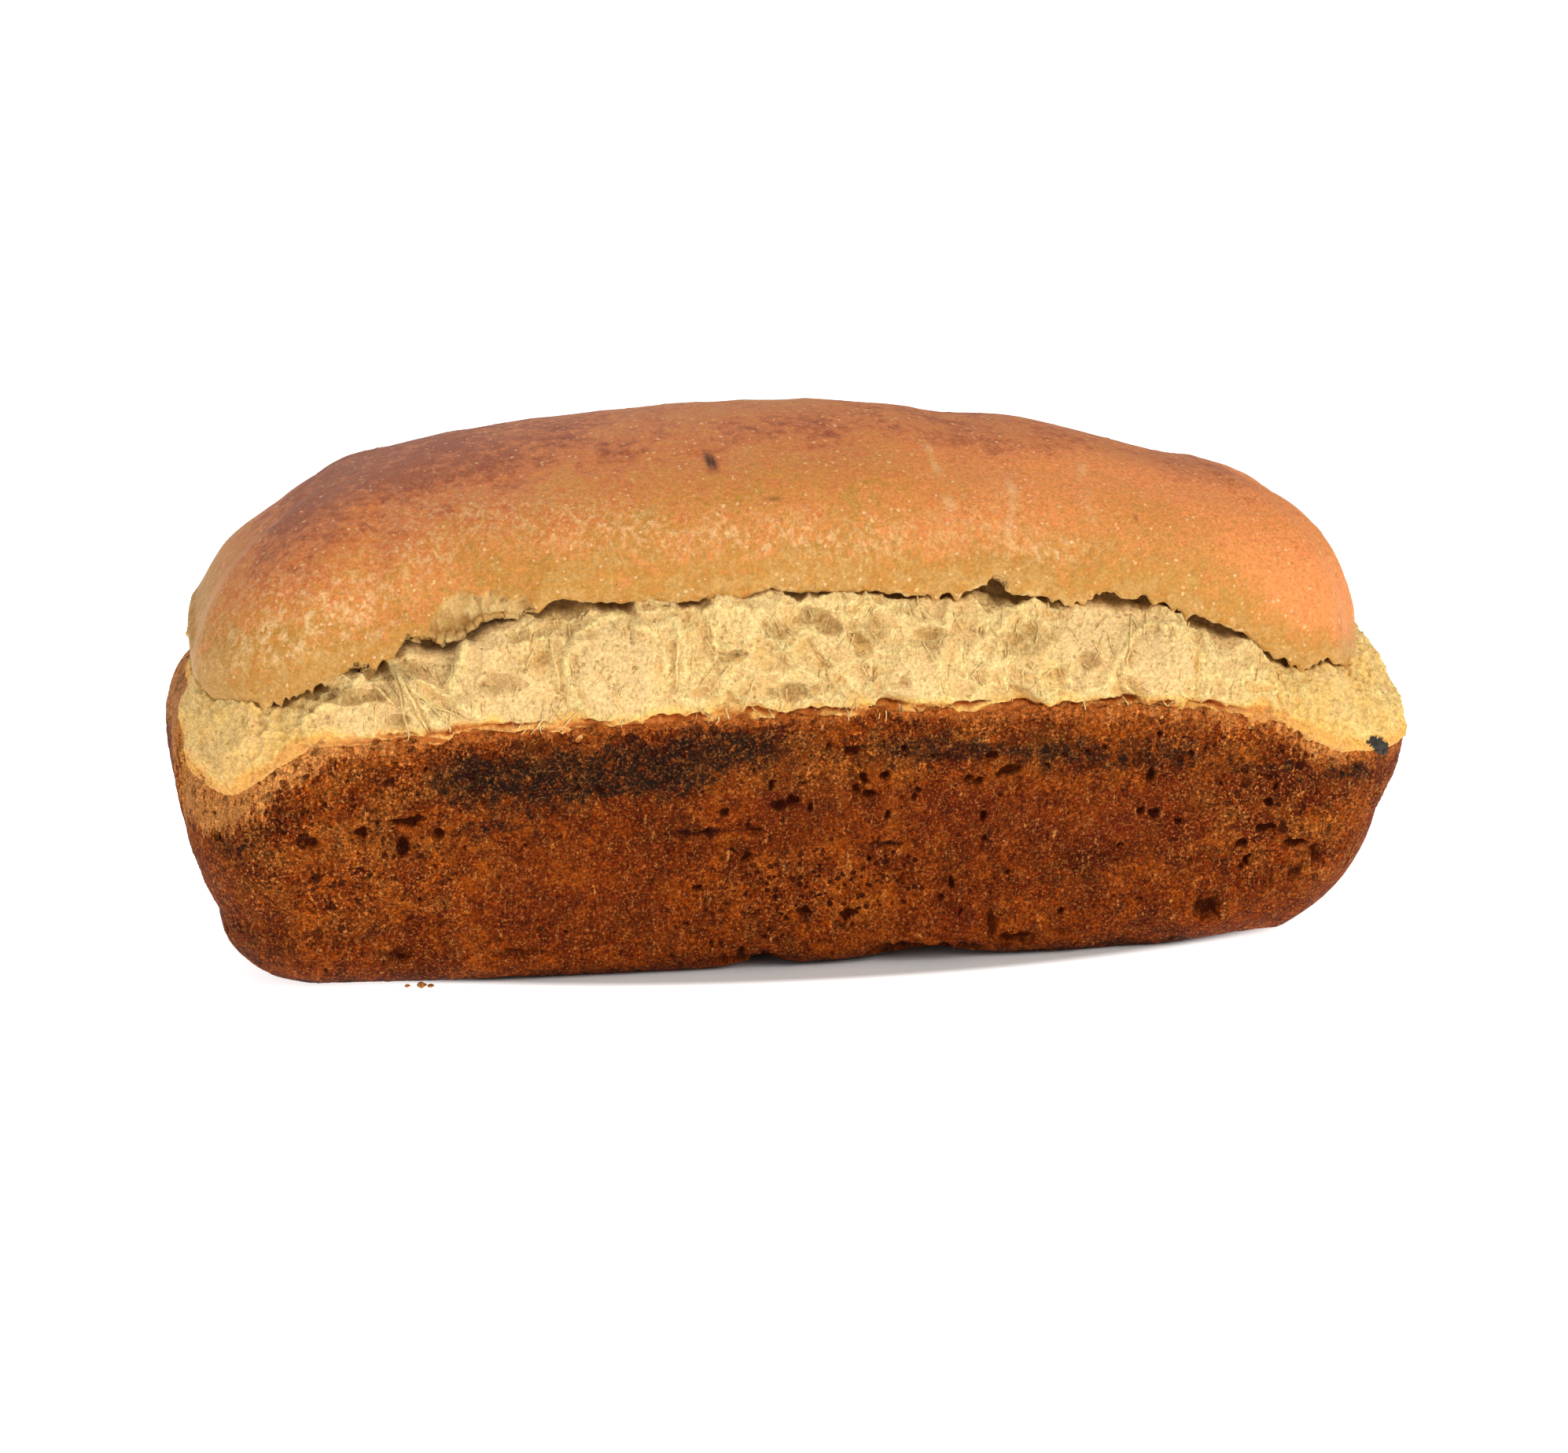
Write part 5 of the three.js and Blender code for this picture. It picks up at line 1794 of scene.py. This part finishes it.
    def skin(self) -> Skin:
        """Works out the cap's points: its underside, the torn lip, and the dome up to the crest line."""
        form, plan = self.form, self.form.plan(self.spacing)
        at = plan.at
        edge = np.stack([at["edge_x"], at["edge_y"], np.zeros(len(plan.core))], axis=-1)
        fine = sum(tooth.at(edge) for tooth in self.teeth) * (0.35 + 1.3 * self.tooth_places.share(edge))
        level = edge.copy()
        level[:, 2] = at["lip_height"]
        tear = fine + total(self.notches, level)
        mouth_radius, _ = form.mouth(plan)
        share = (np.arange(self.under_rows) / self.under_rows)[:, None]
        start = mouth_radius - at["cleft_depth"] - 2.5
        under_z = at["lip_height"] + form.cap_hollow + mix(1.5, 0.0, share) + tear * share**2
        under = plan.place(mix(start, mouth_radius, share), under_z, form)
        turn = (np.arange(self.lip_rows) / self.lip_rows * np.pi / 2)[:, None]
        lip_z = at["lip_height"] + tear * (1 - turn * 2 / np.pi) + form.lip_thickness * (1 - np.cos(turn))
        lip = plan.place(at["lip_radius"] - form.lip_tuck * (1 - np.sin(turn)), lip_z, form)
        up = ((np.arange(self.dome_rows + 1) / self.dome_rows) ** self.row_crowd)[:, None]
        dome = form.dome(plan, up)
        dome[..., 2] += 0.5 * np.maximum(tear, 0) * (1 - smooth(up * 12))
        points = np.concatenate([under, lip, dome])
        torn_rows = np.concatenate([np.ones(self.under_rows), np.linspace(1, 0.25, self.lip_rows)])
        torn = np.concatenate([torn_rows, np.zeros(self.dome_rows + 1)])[:, None]
        up_all = np.concatenate([np.zeros((self.under_rows + self.lip_rows, 1)), up])
        return self.relief(plan, points, torn, up_all)

    def relief(self, plan: Plan, points: Array, torn: Array, up: Array) -> Skin:
        """Dents and wrinkles the dome, tears its skin off in places, and keeps the bake and the marks.

        Args:
            plan: The columns.
            points: The plain cap.
            torn: How torn each row is.
            up: Share of the way up the dome.

        Returns:
            The finished skin.
        """
        behind = smooth((points[..., 1] - self.wrinkle_from) / self.wrinkle_fade)
        wrinkle = np.abs(Lattice.noise(points * (1.0, 1.0, 0.0), self.wrinkles.size, self.wrinkles.seed))
        frost = np.clip(total(self.frost_places, points), 0, 1)
        hidden = smooth((points[..., 1] - self.hidden_from[0]) / self.hidden_from[1])
        frost = np.clip(frost + self.hidden_frost * hidden * hill(up, *self.hidden_frost_at), 0, 1)
        pimple, _, luck = Lattice.cells(points, self.blister_spacing, self.blister_seed)
        blister = self.blister_height * smooth(1 - pimple / self.blister_share) * (luck < self.blister_chance)
        on_dome = (up > 0) * smooth(up * 30)
        crooked = points
        for crook in self.crooks:
            crooked = crooked + crook.sway(points)
        bare = np.max([patch.over(crooked) for patch in self.bare], axis=0)
        stripped = smooth((bare - self.bare_from[0]) / self.bare_from[1]) * (points[..., 2] < self.bare_top)
        raw = np.clip(torn + stripped, 0, 1)
        web, _, _ = self.webs.form(crooked)
        pulled = self.web_height * (web - 0.5) * stripped
        crumb = self.crumb.strength * Lattice.rough(points, self.crumb.size, self.crumb.seed, 3) * raw
        swung = points + self.swing.sway(points)
        streak = np.clip(sum(self.streak(swung, *line) for line in self.streaks), 0, 1)
        streak = streak * self.streak_places.share(points)
        dent = self.dents.at(points)
        low = sum(ripple.at(points) for ripple in self.low_relief)
        marks = (blister + self.streak_height * streak) * (1 - raw)
        skin = (dent - self.wrinkles.strength * behind * wrinkle + low + marks) * on_dome
        cave = total(self.caves, crooked) * stripped
        move = skin + crumb + pulled - self.bare_depth * stripped - cave
        direction = outward(points)
        direction[-1] = (0, 0, 1)
        made = points + direction * move[..., None]
        left, right = end_shares(points[..., 0], *self.end_places)
        rise = points[..., 2] - plan.at["lip_height"]
        pale = self.pale[0] + self.pale[1] * left + self.pale[2] * right
        for ripple in self.pale_edge:
            pale = pale + ripple.at(points)
        uneven = sum(ripple.at(points) for ripple in self.uneven)
        bake = self.bake[0] + self.bake[1] * smooth(rise / pale)
        bake = bake + self.bake[2] * smooth((up - self.bake_top[0]) / self.bake_top[1])
        at_ends = self.bake_ends[0] * left + self.bake_ends[1] * right
        bake = bake + uneven * smooth(up * 6) + at_ends * smooth(rise / pale - self.bake_ends_from)
        place, reach, strength = self.bake_patch
        bake = bake + strength * hill(points[..., 0], place, reach) * smooth((up - 0.1) / 0.2)
        return Skin("top_crust", made, {
            "bake": np.clip(bake, 0, 1),
            "torn": np.where(torn > 0.3, np.clip(torn - 0.25 + Lattice.rough(points, 1.4, 463, 2), 0, 1), stripped),
            # painted shade between the pulled webs and in the caves where the skin is stripped
            "hollow_shade": np.clip((1 - web) * 0.8 + cave, 0, 1) * stripped,
            # painted highlight on the right flank, at mid heights below the top
            "rosy_highlight": smooth(points[..., 0] / 75) * smooth(rise / pale - 0.35) * smooth((0.75 - up) * 3),
            "frost": frost * on_dome,
            "streak": streak * on_dome,
            "speck": np.clip(total(self.specks, points), 0, 1) * on_dome,
        }, seam_top=True)

    def streak(self, points: Array, start: Pair, end: Pair, width: float) -> Array:
        """A pale line down the front of the cap: a hill across its wavering way, faded at its ends.

        Args:
            points: The surface.
            start, end: Its upper and lower ends, by x and z.
            width: The hill's reach.

        Returns:
            The line's share at each point.
        """
        a, b = np.array(start), np.array(end)
        share = np.clip((points[..., 2] - a[1]) / (b[1] - a[1]), 0, 1)
        across = points[..., 0] - mix(a[0], b[0], share) - self.streak_waver.at(points)
        over, under = points[..., 2] - b[1], a[1] - points[..., 2]
        inside = smooth(over / self.streak_fade + 0.5) * smooth(under / self.streak_fade + 0.5)
        broken = self.streak_breaks.share(points)
        return self.streak_strength * hill(across, 0, width) * inside * broken * (points[..., 1] < 0)


@dataclass
class CrumbScatter:
    """A few tiny toasted crumbs that have dropped under the front edge."""

    finish: TinCrustFinish = field(default_factory=lambda: TinCrustFinish(name="loose_crumb_finish"))
    places: tuple[tuple[float, float, float], ...] = ((-92.5, -42.0, 0.9), (-90.4, -42.4, 0.6), (-95.6, -41.4, 0.5))
    lumps: Ripple = Ripple(0.7, 0.35, 501)
    apart: float = 7.3
    stretch: Sizes = (1.35, 0.9, 0.7)
    around: int = 14
    up: int = 9

    def build(self) -> bpy.types.Object:
        """Makes each crumb as a ball of noise flattened a little, resting on the surface under the loaf."""
        points, faces = [], []
        theta = np.linspace(0, 2 * np.pi, self.around, endpoint=False)
        phi = np.linspace(-np.pi / 2, np.pi / 2, self.up)
        for n, (x, y, radius) in enumerate(self.places):
            ring = np.cos(phi)[:, None]
            ball = np.stack([ring * np.cos(theta), ring * np.sin(theta), np.sin(phi)[:, None] + 0 * theta], axis=-1)
            bumpy = radius * (1 + self.lumps.at(ball + self.apart * n)[..., None])
            ball = ball * bumpy * self.stretch
            ball[0], ball[-1] = ball[0].mean(axis=0), ball[-1].mean(axis=0)
            ball += (x, y, -ball[..., 2].min())
            base = sum(len(part) for part in points)
            inner = ball[1:-1].reshape(-1, 3)
            points.append(np.concatenate([inner, ball[:1, 0], ball[-1:, 0]]))
            ring_at = base + np.arange(len(inner)).reshape(self.up - 2, self.around)
            faces += np.stack(squares(ring_at), axis=-1).reshape(-1, 4).tolist()
            south, north = base + len(inner), base + len(inner) + 1
            faces += [[south, int(q), int(p)] for p, q in zip(ring_at[0], np.roll(ring_at[0], -1))]
            faces += [[north, int(p), int(q)] for p, q in zip(ring_at[-1], np.roll(ring_at[-1], -1))]
        mesh = bpy.data.meshes.new("loose_crumbs")
        mesh.from_pydata((np.concatenate(points) * MM).tolist(), [], faces)
        mesh.shade_smooth()
        marked(mesh, {name: np.full(len(mesh.vertices), value) for name, value in (("toast", 1.0), ("blond", 0.8))})
        mesh.materials.append(self.finish.material())
        return linked("loose_crumbs", mesh)


@dataclass
class Loaf:
    """The whole loaf: three skins that share one form, the crumb's fibres, and the crumbs that fell."""

    form: LoafForm = field(default_factory=LoafForm)

    def build(self) -> None:
        """Makes the skins, centres them as the solid is centred, dresses them, and makes them ride."""
        parts = (
            (TinCrust(self.form), Slot.TIN_CRUST),
            (TornCrumb(self.form), Slot.TORN_CRUMB),
            (TopCrust(self.form), Slot.TOP_CRUST),
        )
        skins = [part.skin() for part, _ in parts]
        low = np.min([skin.points.min(axis=(0, 1)) for skin in skins], axis=0)
        high = np.max([skin.points.max(axis=(0, 1)) for skin in skins], axis=0)
        solid_low, solid_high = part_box(NODE)
        shift = np.array(solid_low + solid_high) / 2 / MM - (low + high) / 2
        shift[2] = 0
        for (part, slot), skin in zip(parts, skins):
            piece = skin.build(shift)
            piece.data.materials.append(part.finish.material())
            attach(piece, BODY)
            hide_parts(NODE)
            log.info("%s: %d triangles", piece.name, len(piece.data.polygons))
        crumb = parts[1][0]
        fibres = CrumbFibres(crumb).build(skins[1], shift)
        fibres.data.materials.append(bpy.data.materials[crumb.finish.name])
        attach(fibres, BODY)
        log.info("%s: %d faces", fibres.name, len(fibres.data.polygons))
        crumbs = CrumbScatter().build()
        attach(crumbs, BODY)
        log.info("%s: %d faces", crumbs.name, len(crumbs.data.polygons))


@dataclass(frozen=True)
class Lamp:
    """A square soft lamp: its place and side in metres, its power in watts and its tint."""

    name: str
    place: Sizes
    size: float
    power: float
    tint: Colour

    def hang(self, target: Vector) -> None:
        """Hangs the lamp.

        Args:
            target: Where it looks.
        """
        data = bpy.data.lights.new(self.name, "AREA")
        data.size = self.size
        data.energy = self.power
        data.color = self.tint
        made = linked(self.name, data)
        made.location = self.place
        aimed(made, target - Vector(self.place))


@dataclass
class Studio:
    """The camera at the photograph's angle, a pale floor, and soft white light."""

    image_width: int = 1994
    focal_pixels: float = 6380.5
    azimuth: float = -10.46
    elevation: float = 12.78
    distance: float = 1188.4
    target: tuple[float, float, float] = (-0.76, 0, 47.8)
    sensor: float = 36
    floor_half: float = 20
    floor_tone: Colour = (0.9, 0.9, 0.9)
    floor_roughness: float = 0.9
    floor_glow: float = 0.8
    # no floor light under the loaf's footprint, which paints a shadow there; the light fades in over this range
    shadow_edge: Pair = (0.93, 1.05)
    footprint: Pair = (0.126, 0.053)
    surround: float = 0.36
    lamp_target: Sizes = (0, 0, 0.06)
    lamps: tuple[Lamp, ...] = (
        Lamp("key", (1.1, -1.5, 1.1), 0.9, 24, (1.0, 0.97, 0.92)),
        Lamp("fill", (-1.4, -1.3, 0.8), 1.4, 6, (0.96, 0.98, 1.0)),
        Lamp("behind", (-0.4, 1.5, 1.4), 1.4, 9, (1.0, 0.98, 0.97)),
    )

    def camera(self) -> None:
        """Sets up the camera: its lens gives the photograph's scale on the whole frame."""
        data = bpy.data.cameras.new("camera")
        data.sensor_width = self.sensor
        data.lens = self.sensor * self.focal_pixels / self.image_width
        data.clip_start, data.clip_end = 0.01, 50
        made = linked("camera", data)
        a, e = math.radians(self.azimuth), math.radians(self.elevation)
        back = Vector((math.sin(a) * math.cos(e), -math.cos(a) * math.cos(e), math.sin(e)))
        made.location = (Vector(self.target) + back * self.distance) * MM
        aimed(made, -back)
        bpy.context.scene.camera = made

    def floor(self) -> None:
        """Lays a wide pale floor that glows a little, so that it goes white as in the photograph."""
        h = self.floor_half
        mesh = bpy.data.meshes.new("floor")
        mesh.from_pydata([(-h, -h, 0), (h, -h, 0), (h, h, 0), (-h, h, 0)], [], [(0, 1, 2, 3)])
        made = linked("floor", mesh)
        s = Sheet("floor_finish")
        s.put(s.shader.inputs["Emission Color"], (1.0, 1.0, 1.0))
        s.put(s.shader.inputs["Emission Strength"], self.glow_round_shadow(s))
        mesh.materials.append(s.dressed(self.floor_tone, self.floor_roughness, 0.0, None))

    def glow_round_shadow(self, sheet: Sheet) -> Socket:
        """The floor's own light: none under the loaf, which paints a shadow there, and the whole of it just past the
        loaf's footprint.

        Args:
            sheet: The floor's nodes.

        Returns:
            Its strength.
        """
        scale = (1 / self.footprint[0], 1 / self.footprint[1], 0)
        scaled = sheet.node("VectorMath", {0: sheet.place, 1: scale}, operation="MULTIPLY")
        far = sheet.node("VectorMath", {0: scaled.outputs[0]}, operation="LENGTH").outputs["Value"]
        return sheet.between(far, *self.shadow_edge, 0.0, self.floor_glow)

    def light(self) -> None:
        """Lights the loaf from the front right, with a weaker fill, a light from behind, and a white surround."""
        for lamp in self.lamps:
            lamp.hang(Vector(self.lamp_target))
        world = bpy.data.worlds.new("surround")
        world.use_nodes = True
        surround = world.node_tree.nodes["Background"]
        surround.inputs["Color"].default_value = (1, 1, 1, 1)
        surround.inputs["Strength"].default_value = self.surround
        bpy.context.scene.world = world
        bpy.context.scene.view_settings.view_transform = "Standard"


def main() -> None:
    """Builds the studio and the loaf; the loaf's build logs how many triangles and faces each piece has."""
    logging.basicConfig(level=logging.INFO, format="%(name)s: %(message)s")
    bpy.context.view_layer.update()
    studio = Studio()
    studio.camera()
    studio.floor()
    studio.light()
    Loaf().build()


if __name__ == "__main__":
    main()
